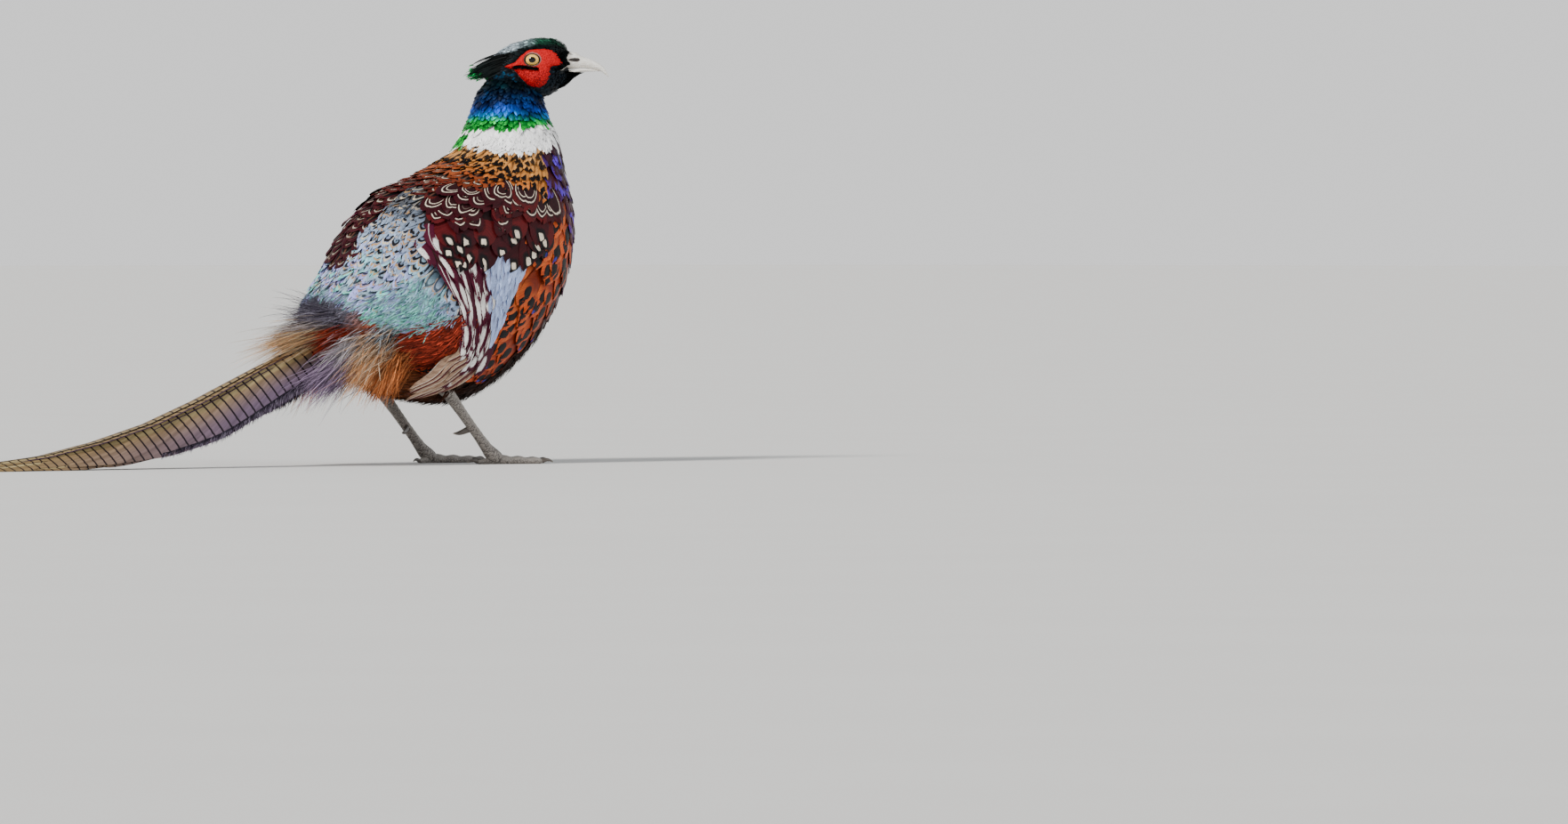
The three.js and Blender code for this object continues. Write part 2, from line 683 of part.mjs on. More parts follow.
function mouthLine(side) {
  return solid(new THREE.BoxGeometry(9, 3.2, 0.7).rotateZ(-0.42 * side).translate(23.6, side * 9.6, -7.6))
}

function throat(grow = 0) {
  const stub = bodyLoft(headFrom + cut, bodySections.length - 1, 3, 18, () => grow)
  return stub.applyMatrix4(headMatrix.clone().invert())
}

function head() {
  let whole = join(sectionLoft(headSections, 15), throat())
  for (const side of [-1, 1]) {
    whole = whole.add(solid(lidTorus(side)))
    for (const tuft of earTufts) whole = whole.add(solid(earTuft(tuft, side)))
  }
  for (const side of [-1, 1]) whole = whole.subtract(eyeSocket(side)).subtract(mouthLine(side))
  return geometryOf(whole)
}

function earTuft({ z, back, down, out: spread, half }, side) {
  const place = (u) => new THREE.Vector3(
    earRoot.x - back * u,
    side * (earRoot.y - 2.5 + spread * Math.sin(Math.PI * Math.min(u, 0.75)) - 4 * u * u),
    z - down * u ** 1.2,
  )
  const path = (u) => {
    const along = place(Math.min(u + 0.05, 1)).sub(place(Math.max(u - 0.05, 0))).normalize()
    const across = along.clone().cross(new THREE.Vector3(0, side, 0)).normalize()
    return { middle: place(u), across, out: across.clone().cross(along).normalize() }
  }
  return vane({ path, steps: 3, half, thick: 2, roof: 0.25, blunt: 0.2 })
}

function wattle(side) {
  const shape = new THREE.Shape(wattleOutline.map(([x, z]) => new THREE.Vector2(x, z)))
  const prism = new THREE.ExtrudeGeometry(shape, { depth: 40, bevelEnabled: false }).rotateX(Math.PI / 2)
  if (side > 0) prism.translate(0, 40, 0)
  const clear = new THREE.CylinderGeometry(lidRing + lidThick + gap, lidRing + lidThick + gap, 60, 24)
  const whole = solid(sectionLoft(headSections, 15, wattleThick))
    .intersect(solid(prism))
    .subtract(solid(sectionLoft(headSections, 15, gap)))
    .subtract(solid(throat(gap)))
    .subtract(solid(clear))
  return geometryOf(whole)
}

function billUpper() {
  let whole = solid(sectionLoft(upperBill, 10, 0, 12))
  for (const side of [-1, 1]) {
    const slot = new THREE.BoxGeometry(nostril.long, nostril.deep * 2, nostril.high)
    slot.rotateY(0.18).translate(nostril.x, side * 5.6, nostril.z)
    whole = whole.subtract(solid(slot))
  }
  return geometryOf(whole)
}

function torsoBody(extra = 0) {
  return solid(bodyLoft(0, neckFrom, 21, 28, (t, phi) => extra + backLift(t, phi) - wingHollow(t, phi)))
}

function torso() {
  let whole = torsoBody()
  for (const side of [-1, 1]) {
    whole = whole.subtract(solid(legLoft(thighLine, side, 12, gap))).subtract(ankleSocket(side))
  }
  return geometryOf(whole)
}

// Colours
function finish(color, roughness) {
  return new THREE.MeshStandardMaterial({ color, roughness, metalness: 0 })
}

const plumage = {
  trunk: finish(0xb5622a, 0.75),
  neck: finish(0x10382f, 0.5),
  head: finish(0x12241f, 0.5),
  wing: finish(0x8f7a66, 0.8),
  tail: finish(0x8a7650, 0.8),
  thigh: finish(0x3a2418, 0.85),
}
const bareRed = finish(0xc4161a, 0.6)
const horn = finish(0xd8cdb4, 0.4)
const eyeGloss = finish(0x0b0b0b, 0.08)
const legSkin = finish(0x7f776c, 0.6)
const clawHorn = finish(0x39332c, 0.45)

function node(name, geometry, material) {
  const mesh = new THREE.Mesh(geometry, material)
  mesh.name = name
  return mesh
}

const bird = new THREE.Group()
bird.add(node('torso', torso(), plumage.trunk))
bird.add(node('neck', bodyLoft(neckFrom + cut, headFrom, 7, 24), plumage.neck))
const tail = tailWhole()
bird.add(node('tail', tailPart(tail, true), plumage.tail))
bird.add(node('tail_end', tailPart(tail, false), plumage.tail))

const headGroup = new THREE.Group()
headGroup.position.copy(headPlace)
headGroup.rotation.z = headTurn
headGroup.add(node('head', head(), plumage.head))
headGroup.add(node('bill_upper', billUpper(), horn))
headGroup.add(node('bill_lower', sectionLoft(lowerBill, 8, 0, 12), horn))
bird.add(headGroup)

for (const [name, side] of [['right', -1], ['left', 1]]) {
  const eyeball = node(`eye_${name}`, ball(0, side * eyeSide, 0, eyeRadius, 14, 10), eyeGloss)
  headGroup.add(eyeball, node(`wattle_${name}`, wattle(side), bareRed))
  bird.add(node(`wing_${name}`, wing(side), plumage.wing))
  bird.add(node(`thigh_${name}`, thigh(side), plumage.thigh))
  bird.add(node(`tarsus_${name}`, tarsus(side), legSkin))
  bird.add(node(`foot_${name}`, foot(side), legSkin))
  for (const toe of toes) bird.add(node(`claw_${name}_${toe.name}`, claw(toe, side), clawHorn))
}

// The origin is the middle of the box's underside
bird.updateMatrixWorld(true)
const box = new THREE.Box3().setFromObject(bird, true)
const middle = box.getCenter(new THREE.Vector3())
bird.position.set(-middle.x, -middle.y, -box.min.z)

export default bird
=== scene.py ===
"""Cock common pheasant, dressed with skin, plumage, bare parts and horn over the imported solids."""
import math

import bmesh
import bpy
import numpy as np
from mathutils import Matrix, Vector


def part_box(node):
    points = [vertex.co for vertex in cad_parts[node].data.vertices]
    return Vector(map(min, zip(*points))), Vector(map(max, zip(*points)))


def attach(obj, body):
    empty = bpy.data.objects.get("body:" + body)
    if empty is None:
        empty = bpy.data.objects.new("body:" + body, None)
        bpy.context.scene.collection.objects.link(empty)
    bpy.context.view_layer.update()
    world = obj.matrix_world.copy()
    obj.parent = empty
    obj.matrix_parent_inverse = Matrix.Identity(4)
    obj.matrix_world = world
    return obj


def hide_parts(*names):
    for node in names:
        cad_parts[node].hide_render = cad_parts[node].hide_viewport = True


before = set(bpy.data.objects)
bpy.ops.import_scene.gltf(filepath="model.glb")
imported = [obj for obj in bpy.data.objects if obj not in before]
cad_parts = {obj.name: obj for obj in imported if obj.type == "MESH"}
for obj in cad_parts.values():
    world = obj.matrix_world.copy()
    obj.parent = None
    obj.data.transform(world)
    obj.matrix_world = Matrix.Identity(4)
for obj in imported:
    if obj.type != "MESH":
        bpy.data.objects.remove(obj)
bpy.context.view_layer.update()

MM = 0.001
SIDES = {"right": -1, "left": 1}

# Body sections from the tail root to the throat: back x and z, belly x and z, half width, in millimetres
BODY = np.array([
    [-112, 100, -98, 74, 14], [-118, 118, -48, 52, 38], [-94, 145, 12, 45, 54],
    [-67, 177, 71.5, 77, 58.5],
    [-31, 201, 109, 124, 58], [5, 216, 121, 172, 51.5], [30, 228, 114.5, 210, 42.5],
    [38, 240, 111.5, 235, 35],
    [43, 250, 105, 249, 30], [48.5, 265, 100, 264, 25.5], [53.5, 280, 98.5, 279, 21.5],
], float)
BODY_END = 10.7
TAILWARD = np.array([-0.86, 0.0, -0.51])

# Head sections: x, top, bottom, half width, from the nape to the bill
HEAD_PLACE = np.array([86, -12, 293.5])
HEAD_TURN = math.radians(-45)
HEAD = np.array([
    [-35, -5, -12, 3], [-32, -1.5, -17.5, 8], [-26, 5, -22.5, 13], [-17, 11, -26, 16.2],
    [-8, 13.9, -27.5, 17.4],
    [0, 15.6, -27.5, 17], [10, 16, -26, 15.4], [17, 15.2, -22.8, 12.9], [21.5, 13, -19.2, 10.4],
    [24.8, 9.8, -15.8, 8.3], [26.8, 7, -13, 6.6],
], float)
HEAD_POWER = 2.15
EYE_RADIUS = 7.2
EYE_SIDE = 11.4
EYE_FLAT = 0.84
LID_WIDE = 6.2
LID_HIGH = 4.75

# Coat depth over the skin
TRUNK_COAT = 3.4
NECK_COAT = 2.2
HEAD_COAT = 0.88

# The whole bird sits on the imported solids: the middle between the eyes gives the shift
eye_corners = [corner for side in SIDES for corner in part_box(f"eye_{side}")]
SHIFT = np.array(sum(eye_corners, Vector()) / len(eye_corners)) / MM - HEAD_PLACE


def metres(points):
    return (points + SHIFT) * MM


def smooth(low, high, x):
    f = np.clip((np.asarray(x, float) - low) / (high - low), 0, 1)
    return f * f * (3 - 2 * f)


def unit(v):
    return v / np.maximum(np.linalg.norm(v, axis=-1, keepdims=True), 1e-9)


def stacked(*parts):
    """Coordinates of matching shapes as one array of points."""
    return np.stack(np.broadcast_arrays(*parts), -1)


def line(table, x):
    """Straight lines between the pairs of a table."""
    rows = np.array(table, float)
    rows = rows[np.argsort(rows[:, 0])]
    return np.interp(x, rows[:, 0], rows[:, 1])


def spline(table, t):
    """A curve through the rows of a table, straight on past its ends."""
    table = np.asarray(table, float)
    last = len(table) - 1
    rows = np.concatenate([[2 * table[0] - table[1]], table, [2 * table[-1] - table[-2]]])
    inside = np.clip(t, 0, last)
    i = np.clip(np.floor(inside).astype(int), 0, last - 1)
    f = (inside - i)[..., None]
    pick = (lambda k: rows[i + k, np.arange(len(i))]) if table.ndim == 3 else (lambda k: rows[i + k])
    p0, p1, p2, p3 = (pick(k) for k in range(4))
    c1, c2, c3 = p2 - p0, 2 * p0 - 5 * p1 + 4 * p2 - p3, 3 * p1 - p0 - 3 * p2 + p3
    value = 0.5 * (2 * p1 + c1 * f + c2 * f ** 2 + c3 * f ** 3)
    slope = 0.5 * (c1 + 2 * c2 * f + 3 * c3 * f ** 2)
    return value + slope * (t - inside)[..., None]


def ellipse(half, top, bottom, angle, power):
    """Side and height of a rounded section at an angle from its top."""
    c, s = np.cos(np.radians(angle)), np.sin(np.radians(angle))
    reach = (np.abs(c) ** power + np.abs(s) ** power) ** (-1 / power)
    return half * s * reach, (top + bottom) / 2 + (top - bottom) / 2 * c * reach, c * reach


ROUND_STEPS = (0.02, 0.5)
WING_STEPS = (0.05, 0.02)
LEAST_STRETCH = 0.02


# Surfaces: each takes two coordinates and a height above the surface, and the first one falls along the lie
def raised(plain, a, b, height, steps):
    """A point above a plain surface, along its normal."""
    da, db = steps
    along = plain(a + da, b) - plain(a - da, b)
    across = plain(a, b + db) - plain(a, b - db)
    return plain(a, b) + unit(np.cross(along, across)) * np.asarray(height)[..., None], along


def body_plain(t, phi):
    bx, bz, ux, uz, half = np.moveaxis(spline(BODY, t), -1, 0)
    power = 2 + 0.25 * np.clip((6 - t) / 2, 0, 1)
    side, z, c = ellipse(half, bz, uz, phi, power)
    narrow = 1 - 0.42 * smooth(9.0, 10.9, t)
    return stacked((bx + ux) / 2 + (bx - ux) / 2 * c * narrow, side * narrow, z)


def back_lift(t, phi):
    across = smooth(-4, 8, phi) * (1 - smooth(22, 34, phi))
    return 3 * across * smooth(1.9, 2.4, t) * (1 - smooth(3.8, 4.4, t))


def body(t, phi, height):
    """The trunk and neck. Past the tail root the surface goes straight on."""
    inside = np.clip(t, 0.05, BODY_END)
    point, along = raised(body_plain, inside, phi, height + back_lift(inside, phi), ROUND_STEPS)
    beyond = np.minimum(t - inside, 0) * np.linalg.norm(along, axis=-1) / (2 * ROUND_STEPS[0])
    return point - TAILWARD * beyond[..., None]


def head_shape(s, phi):
    x, top, bottom, half = np.moveaxis(spline(HEAD, s), -1, 0)
    side, z, _ = ellipse(half, top, bottom, phi, HEAD_POWER)
    return stacked(x, side, z)


def head_plain(s, phi):
    return head_frame(head_shape(s, phi))


def head_frame(points):
    c, s = math.cos(HEAD_TURN), math.sin(HEAD_TURN)
    x, y, z = np.moveaxis(np.asarray(points, float), -1, 0)
    return stacked(x * c - y * s, x * s + y * c, z) + HEAD_PLACE


def head(s, phi, height):
    return raised(head_plain, np.clip(s, 0.05, 9.95), phi, height, ROUND_STEPS)[0]


# The folded wing between its upper and lower edges, each a section and an angle from the back
WING_UPPER = {
    "right": [[4.62, 40], [4.3, 33], [3.7, 31], [3.0, 42], [2.7, 60], [2.45, 82]],
    "left": [[4.62, 30], [4.3, 20], [3.7, 14], [3.1, 20], [2.75, 45], [2.45, 80]],
}
WING_LOWER = [[4.78, 70], [4.55, 88], [4.0, 93], [3.6, 96], [3.1, 102], [2.6, 111]]
TIP_UPPER = np.array([[-27, 56, 85], [-40, 54, 76], [-53, 51.5, 65], [-68, 49, 58.5]], float)
TIP_LOWER = np.array([[-7, 54, 72], [-22, 51, 62], [-39, 48, 54], [-71, 45, 45]], float)
LEFT_TUCK = np.array([8, 0, 14], float)
ON_BODY = len(WING_LOWER) - 1
STATIONS = ON_BODY + len(TIP_UPPER)


def wing_surface(side):
    """The right or left wing: minus the station along it, then the place across it from 0 to 1."""
    sign = SIDES[side]

    def on_body(station, q):
        upper, lower = spline(WING_UPPER[side], station), spline(WING_LOWER, station)
        t, phi = np.moveaxis(upper + (lower - upper) * q[..., None], -1, 0)
        phi = phi * sign
        return raised(body_plain, t, phi, 1 + back_lift(t, phi), ROUND_STEPS)[0]

    def plain(a, q):
        a, q = np.broadcast_arrays(np.asarray(a, float), np.asarray(q, float))
        shape = a.shape
        station, q = np.clip(-a.ravel(), -0.6, STATIONS + 0.6), q.ravel()
        rows = [on_body(np.full_like(q, ON_BODY - 1), q), on_body(np.full_like(q, ON_BODY), q)]
        for k, (upper, lower) in enumerate(zip(TIP_UPPER, TIP_LOWER)):
            point = upper + (lower - upper) * q[:, None]
            if sign > 0:
                point = point + LEFT_TUCK * (k + 1) / len(TIP_UPPER)
            point[:, 1] = sign * (point[:, 1] + 2.5 * np.sin(np.pi * np.clip(q, 0, 1)))
            rows.append(point)
        free = spline(np.stack(rows), station - ON_BODY + 1)
        near = on_body(np.minimum(station, ON_BODY), q)
        return np.where((station <= ON_BODY)[:, None], near, free).reshape(*shape, 3)

    return lambda a, q, height: raised(plain, a, q, np.asarray(height) * sign, WING_STEPS)[0]


WINGS = {side: wing_surface(side) for side in SIDES}

# Tail: the middle line of its upper side, and its feathers in pairs with the middle pair on top
TAIL_LINE = np.array([
    [-100, 98], [-146, 81.5], [-174, 71.5], [-200, 61.2], [-233, 48.3], [-280, 32.5], [-330, 20.3],
    [-380, 11.3], [-430, 5.9],
    [-480, 2.9], [-545, 1.2],
], float)
TAIL_PAIRS = [
    {"long": 452, "half": 12.5, "turn": 0.4, "drop": 0, "roll": 15},
    {"long": 400, "half": 12, "turn": 1.4, "drop": 2.8, "roll": 20},
    {"long": 300, "half": 11.5, "turn": 2.8, "drop": 6.6, "roll": 25},
    {"long": 236, "half": 11, "turn": 4.4, "drop": 11, "roll": 31},
    {"long": 170, "half": 10.5, "turn": 6.6, "drop": 16, "roll": 37},
]
TAIL_RUN = np.concatenate([[0], np.cumsum(np.linalg.norm(np.diff(TAIL_LINE, axis=0), axis=1))])
TAIL_LONG = TAIL_PAIRS[0]["long"]
TAIL_START = 14
TAIL_ROOF = 0.3
OUTER_WEB = 22
BAR_APART = 8.5


# Making meshes
class Batch:
    """Many like pieces as one mesh, with the place on each piece and its own colour at every point."""

    def __init__(self):
        self.points, self.faces, self.vane, self.tone, self.root = [], [], [], [], []
        self.count = 0

    def grid(self, points, vane, tone, root, closed=False):
        """Adds n grids of rows by columns: points (n, rows, columns, 3)."""
        n, rows, columns = points.shape[:3]
        i, j = np.meshgrid(np.arange(rows - 1), np.arange(columns if closed else columns - 1),
                           indexing="ij")
        k = (j + 1) % columns
        quad = stacked(i * columns + j, i * columns + k, (i + 1) * columns + k, (i + 1) * columns + j)
        start = self.count + np.arange(n)[:, None, None] * rows * columns
        self.faces.append((quad.reshape(-1, 4)[None] + start).reshape(-1, 4))
        for store, values in ((self.points, points), (self.vane, vane), (self.root, root)):
            store.append(values.reshape(-1, values.shape[-1]))
        self.tone.append(np.broadcast_to(tone, (*points.shape[:3], 4)).reshape(-1, 4))
        self.count += n * rows * columns

    def build(self, name, material, replaces=(), slot=None):
        points = np.concatenate(self.points)
        faces = np.concatenate(self.faces)
        mesh = bpy.data.meshes.new(name)
        mesh.vertices.add(len(points))
        mesh.vertices.foreach_set("co", metres(points).astype(np.float32).ravel())
        mesh.loops.add(faces.size)
        mesh.loops.foreach_set("vertex_index", faces.astype(np.int32).ravel())
        mesh.polygons.add(len(faces))
        mesh.polygons.foreach_set("loop_start", np.arange(0, faces.size, 4, dtype=np.int32))
        mesh.update(calc_edges=True)
        mesh.polygons.foreach_set("use_smooth", np.ones(len(faces), bool))
        vane = mesh.attributes.new("vane", "FLOAT_VECTOR", "POINT")
        vane.data.foreach_set("vector", np.concatenate(self.vane).astype(np.float32).ravel())
        tone = mesh.attributes.new("tone", "FLOAT_COLOR", "POINT")
        tone.data.foreach_set("color", np.concatenate(self.tone).astype(np.float32).ravel())
        layer = mesh.uv_layers.new(name="OFBake")
        layer.data.foreach_set("uv", np.concatenate(self.root)[faces.ravel()].astype(np.float32).ravel())
        piece = bpy.data.objects.new(name, mesh)
        bpy.context.scene.collection.objects.link(piece)
        mesh.materials.append(material)
        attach(piece, "root")
        if replaces:
            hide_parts(*replaces)
        return piece


def finish_mesh(piece, weld=0.00002):
    """Joins the rings' seams and turns every face outwards."""
    work = bmesh.new()
    work.from_mesh(piece.data)
    bmesh.ops.remove_doubles(work, verts=work.verts, dist=weld)
    bmesh.ops.recalc_face_normals(work, faces=work.faces)
    work.to_mesh(piece.data)
    work.free()
    return piece


# The bake map: its margin, how much of it the roots fill, and the size of a feather's own patch on it
MAP_EDGE = 0.02
MAP_SPAN = 0.95
PATCH = 0.0015


def patch(a, b, window, u, x):
    """Each feather's patch of the bake map, at its root's place on the unrolled skin."""
    a0, a1, b0, b1 = window[:4]
    spot = MAP_EDGE + MAP_SPAN * stacked((b - b0) / (b1 - b0), (a - a0) / (a1 - a0))
    return spot[:, None, None] + PATCH * stacked(x, 2 * u)


def stretch(surface, a, b, da, db):
    """Millimetres of surface for each unit of the coordinate that steps."""
    none = np.zeros(np.shape(a))
    reach = surface(a + da, b + db, none) - surface(a - da, b - db, none)
    return np.maximum(np.linalg.norm(reach, axis=-1) / (2 * (da + db)), LEAST_STRETCH)


def varied(tone, n, draw, amount):
    """A colour for each of n feathers, some lighter and some darker."""
    tone = np.broadcast_to(np.asarray(tone, float), (n, 4)).copy()
    tone[:, :3] *= np.exp(amount * draw.normal(size=(n, 1)))
    return tone[:, None, None]


def lay(batch, surface, window, a, b, long, half, tone, seed, heading=0.0, rise=(-2.5, 0.4), rows=5,
        columns=4,
        blunt=0.5, narrow=0.5, camber=0.5, ragged=0.05, curl=0.0, sway=0.12, lift=0.25):
    """Lays feathers on a surface from their roots. rise is the height of the root and of the tip."""
    draw = np.random.default_rng(seed)
    n = len(a)
    long, half, heading = (np.broadcast_to(np.asarray(v, float), n) for v in (long, half, heading))
    low, high = (np.broadcast_to(np.asarray(v, float), n)[:, None, None] for v in rise)
    step_a, step_b = window[4:]
    size_a, size_b = stretch(surface, a, b, step_a, 0), stretch(surface, a, b, 0, step_b)
    u = np.sin(np.pi / 2 * np.linspace(0, 1, rows + 1))[None, :, None]
    v = np.linspace(-1, 1, columns + 1)[None, None, :]
    width = narrow + (1 - narrow) * smooth(0, 0.45, u)
    width = width * np.sqrt(np.clip(1 - (np.clip(u - blunt, 0, 1) / (1.015 - blunt)) ** 2, 0, 1))
    tip = ragged * draw.normal(size=(n, 1, columns + 1)) * u ** 3
    turn = heading[:, None, None] + sway * draw.normal(size=(n, 1, 1)) + curl * u
    along = long[:, None, None] * (u + tip) * (1 + 0.08 * draw.normal(size=(n, 1, 1)))
    aside = half[:, None, None] * v * width
    at_a = a[:, None, None] - (np.cos(turn) * along - np.sin(turn) * aside) / size_a[:, None, None]
    at_b = b[:, None, None] + (np.sin(turn) * along + np.cos(turn) * aside) / size_b[:, None, None]
    height = low + (high - low) * u + camber * (1 - v ** 2) * smooth(0, 0.6, u)
    height = height + lift * draw.normal(size=(n, 1, 1)) * u
    points = surface(at_a, at_b, np.broadcast_to(height, (n, rows + 1, columns + 1)))
    vane = stacked(u, v * width, draw.random((n, 1, 1)))
    batch.grid(points, vane, varied(tone, n, draw, 0.1), patch(a, b, window, u, v * width))


def spray(batch, roots, tips, half, tone, seed, bow=(0, 0, 0), rows=5, spread=1.0, flat=(0, 0, 1)):
    """Loose strands from root points to tip points, bowed and a little spread."""
    draw = np.random.default_rng(seed)
    n = len(roots)
    u = np.linspace(0, 1, rows + 1)[None, :, None]
    reach = (tips - roots)[:, None]
    drift = spread * draw.normal(size=(n, 1, 3)) * u ** 1.5
    middle = roots[:, None] + reach * u + np.asarray(bow, float) * 4 * u * (1 - u) + drift
    across = unit(np.cross(reach, np.asarray(flat, float) + 0.5 * draw.normal(size=(n, 1, 3))))
    width = np.asarray(half, float).reshape(-1, 1, 1) * (0.6 + 0.4 * smooth(0, 0.3, u)) * (1.02
        - u) ** 0.5
    points = np.stack([middle - across * width, middle + across * width], 2)
    v = np.array([-1.0, 1.0])
    vane = stacked(u, v, draw.random((n, 1, 1)))
    spot = MAP_EDGE + MAP_SPAN * (roots - roots.min(0)) / np.maximum(np.ptp(roots, axis=0), 1)
    root = spot[:, None, None, [0, 2]] + PATCH * stacked(v, 2 * u)
    batch.grid(points, vane, varied(tone, n, draw, 0.18), root)


def capped(rings, *others):
    """Rings with a point added at each end, and their other values repeated there."""
    ends = [np.broadcast_to(rings[k].mean(0), rings[k].shape) for k in (0, -1)]
    rings = np.concatenate([[ends[0]], rings, [ends[1]]])
    return [rings, *(np.concatenate([values[:1], values, values[-1:]]) for values in others)]


def ring_mesh(name, rings, material, replaces=(), slot=None, vane=None, tone=(1, 1, 1, 1), caps=True):
    """A closed skin through rings of points, (rows, columns, 3)."""
    given = [] if vane is None else [vane]
    if caps:
        rings, *given = capped(rings, *given)
    f, g = np.meshgrid(*(np.linspace(0.01, 0.99, count) for count in rings.shape[:2]), indexing="ij")
    vane = given[0] if given else stacked(f, g, 0)
    batch = Batch()
    batch.grid(rings[None], vane[None], tone, stacked(g, f)[None], closed=True)
    return finish_mesh(batch.build(name, material, replaces, slot))


# Materials
class Tint:
    """A socket in a material. Sums on it add Math nodes, and node() adds any other node."""

    def __init__(self, tree, socket=None):
        self.tree = tree
        self.socket = socket

    def node(self, kind, settings=None, inputs=None, out=0):
        made = self.tree.nodes.new(kind)
        for name, value in (settings or {}).items():
            setattr(made, name, value)
        for name, value in (inputs or {}).items():
            if isinstance(value, Tint):
                self.tree.links.new(value.socket, made.inputs[name])
            else:
                made.inputs[name].default_value = value
        return Tint(self.tree, made.outputs[out])

    def math(self, operation, first, second=0.0):
        return self.node("ShaderNodeMath", {"operation": operation}, {0: first, 1: second})

    def __add__(self, other):
        return self.math("ADD", self, other)

    def __sub__(self, other):
        return self.math("SUBTRACT", self, other)

    def __rsub__(self, other):
        return self.math("SUBTRACT", other, self)

    def __mul__(self, other):
        return self.math("MULTIPLY", self, other)

    def __truediv__(self, other):
        return self.math("DIVIDE", self, other)

    def __pow__(self, other):
        return self.math("POWER", self, other)

    __radd__ = __add__
    __rmul__ = __mul__

    def size(self):
        return self.math("ABSOLUTE", self)

    def least(self, other):
        return self.math("MINIMUM", self, other)

    def most(self, other):
        return self.math("MAXIMUM", self, other)

    def wave(self):
        return self.math("SINE", self)

    def step(self, low, high):
        """0 below low, 1 above high and smooth between; the other way round where high is below low."""
        return self.node("ShaderNodeMapRange", {"interpolation_type": "SMOOTHSTEP"},
                         {0: self, 1: min(low, high), 2: max(low, high),
                          3: 0.0 if low < high else 1.0, 4: 1.0 if low < high else 0.0})

    def band(self, low, high, soft):
        return self.step(low - soft, low + soft) * self.step(high + soft, high - soft)

    def mix(self, low, high):
        """Two colours mixed by this factor."""
        return self.node("ShaderNodeMix", {"data_type": "RGBA"}, {0: self, 6: low, 7: high}, out=2)

    def stain(self, other):
        """This colour multiplied by another."""
        return self.node("ShaderNodeMix", {"data_type": "RGBA", "blend_type": "MULTIPLY"},
                         {0: 1.0, 6: self, 7: other}, out=2)

    def grey(self, value):
        return self.node("ShaderNodeCombineColor", {}, {0: value, 1: value, 2: value})

    def vector(self, x, y, z):
        return self.node("ShaderNodeCombineXYZ", {}, {0: x, 1: y, 2: z})

    def parts(self):
        made = self.node("ShaderNodeSeparateXYZ", {}, {0: self})
        return [Tint(self.tree, output) for output in made.socket.node.outputs]

    def place(self):
        """Where a point lies on its piece, as three numbers kept in the mesh."""
        return self.node("ShaderNodeAttribute", {"attribute_name": "vane"}, out=1).parts()

    def tone(self):
        """The colour kept in the mesh, with a strength as its alpha."""
        return self.node("ShaderNodeAttribute", {"attribute_name": "tone"})

    def spot(self):
        """A point's coordinates in its object."""
        return self.node("ShaderNodeTexCoord", out=3)

    def noise(self, vector, scale, detail=2.0, rough=0.5):
        return self.node("ShaderNodeTexNoise", {},
                         {"Vector": vector, "Scale": scale, "Detail": detail, "Roughness": rough})

    def cells(self, vector, scale, feature="F1"):
        return self.node("ShaderNodeTexVoronoi", {"feature": feature},
                         {"Vector": vector, "Scale": scale})

    def bump(self, height, distance, strength=1.0):
        return self.node("ShaderNodeBump", {},
                         {"Height": height, "Distance": distance, "Strength": strength})


def rgb(red, green, blue):
    return (red, green, blue, 1.0)


def surface_of(name, paint, **constants):
    """A material from a function that paints it: it returns what feeds the shader's sockets."""
    material = bpy.data.materials.new(name)
    material.use_nodes = True
    tree = material.node_tree
    tree.nodes.clear()
    start = Tint(tree)
    inputs = {key.replace("_", " "): value for key, value in constants.items()}
    inputs.update(paint(start))
    shader = start.node("ShaderNodeBsdfPrincipled", {}, inputs)
    output = tree.nodes.new("ShaderNodeOutputMaterial")
    tree.links.new(shader.socket, output.inputs["Surface"])
    return material


class Vane:
    """The place on a feather, root to tip and side to side, its colour and its strength of marking."""

    def __init__(self, start):
        self.u, self.x, self.mark = start.place()
        self.tone = start.tone()
        self.strength = Tint(start.tree, self.tone.socket.node.outputs["Alpha"])
        self.side = self.x.size()
        y = (self.u - 0.3) / 0.7
        self.ring = (y * y + self.x * self.x) ** 0.5
        grain = start.vector(self.u * 34 - self.side * 9, self.x * 1.5, self.mark * 40)
        self.barbs = start.noise(grain, 1.0, 2.0, 0.6)


def plume(name, colour, rough=0.6, depth=0.00025, **constants):
    """A feather's material: its marking, fine barbs and a soft gloss."""

    def paint(start):
        vane = Vane(start)
        shade = start.grey(vane.barbs * 1.3 + 0.08)
        return {
            "Base Color": colour(vane).stain(shade),
            "Roughness": vane.barbs * 0.25 + (rough - 0.12),
            "Normal": start.bump(vane.barbs, depth, 0.6),
        }

    return surface_of(name, paint, **{"Specular_IOR_Level": 0.12, **constants})


BLACK = rgb(0.005, 0.003, 0.004)
CREAM = rgb(1.0, 0.86, 0.68)
MAROON = rgb(0.13, 0.018, 0.022)


def mantle_colour(vane):
    """Gold with a dark triangle at the tip and dark outer edges."""
    tip = (vane.u - vane.side * 0.42 + (vane.mark - 0.5) * 0.1).step(0.7, 0.76)
    edge = (vane.side + (vane.barbs - 0.5) * 0.25).step(0.62, 0.9)
    lit = vane.side.band(0.1, 0.5, 0.15).mix(vane.tone, vane.tone.stain(rgb(1.35, 1.5, 1.5)))
    return (tip * vane.strength).most(edge * 0.8).mix(lit, BLACK)


def back_colour(vane):
    """Dark with a thin cream U and a maroon edge."""
    inner = vane.side.step(0.2, 0.05).mix(BLACK, rgb(0.12, 0.05, 0.03))
    some = vane.strength * vane.mark.step(0.3, 0.6) * vane.side.step(0.75, 0.4)
    marked = (vane.ring.band(0.68, 0.76, 0.03) * some).mix(inner, CREAM)
    return vane.ring.step(0.78, 0.88).mix(marked, vane.tone)


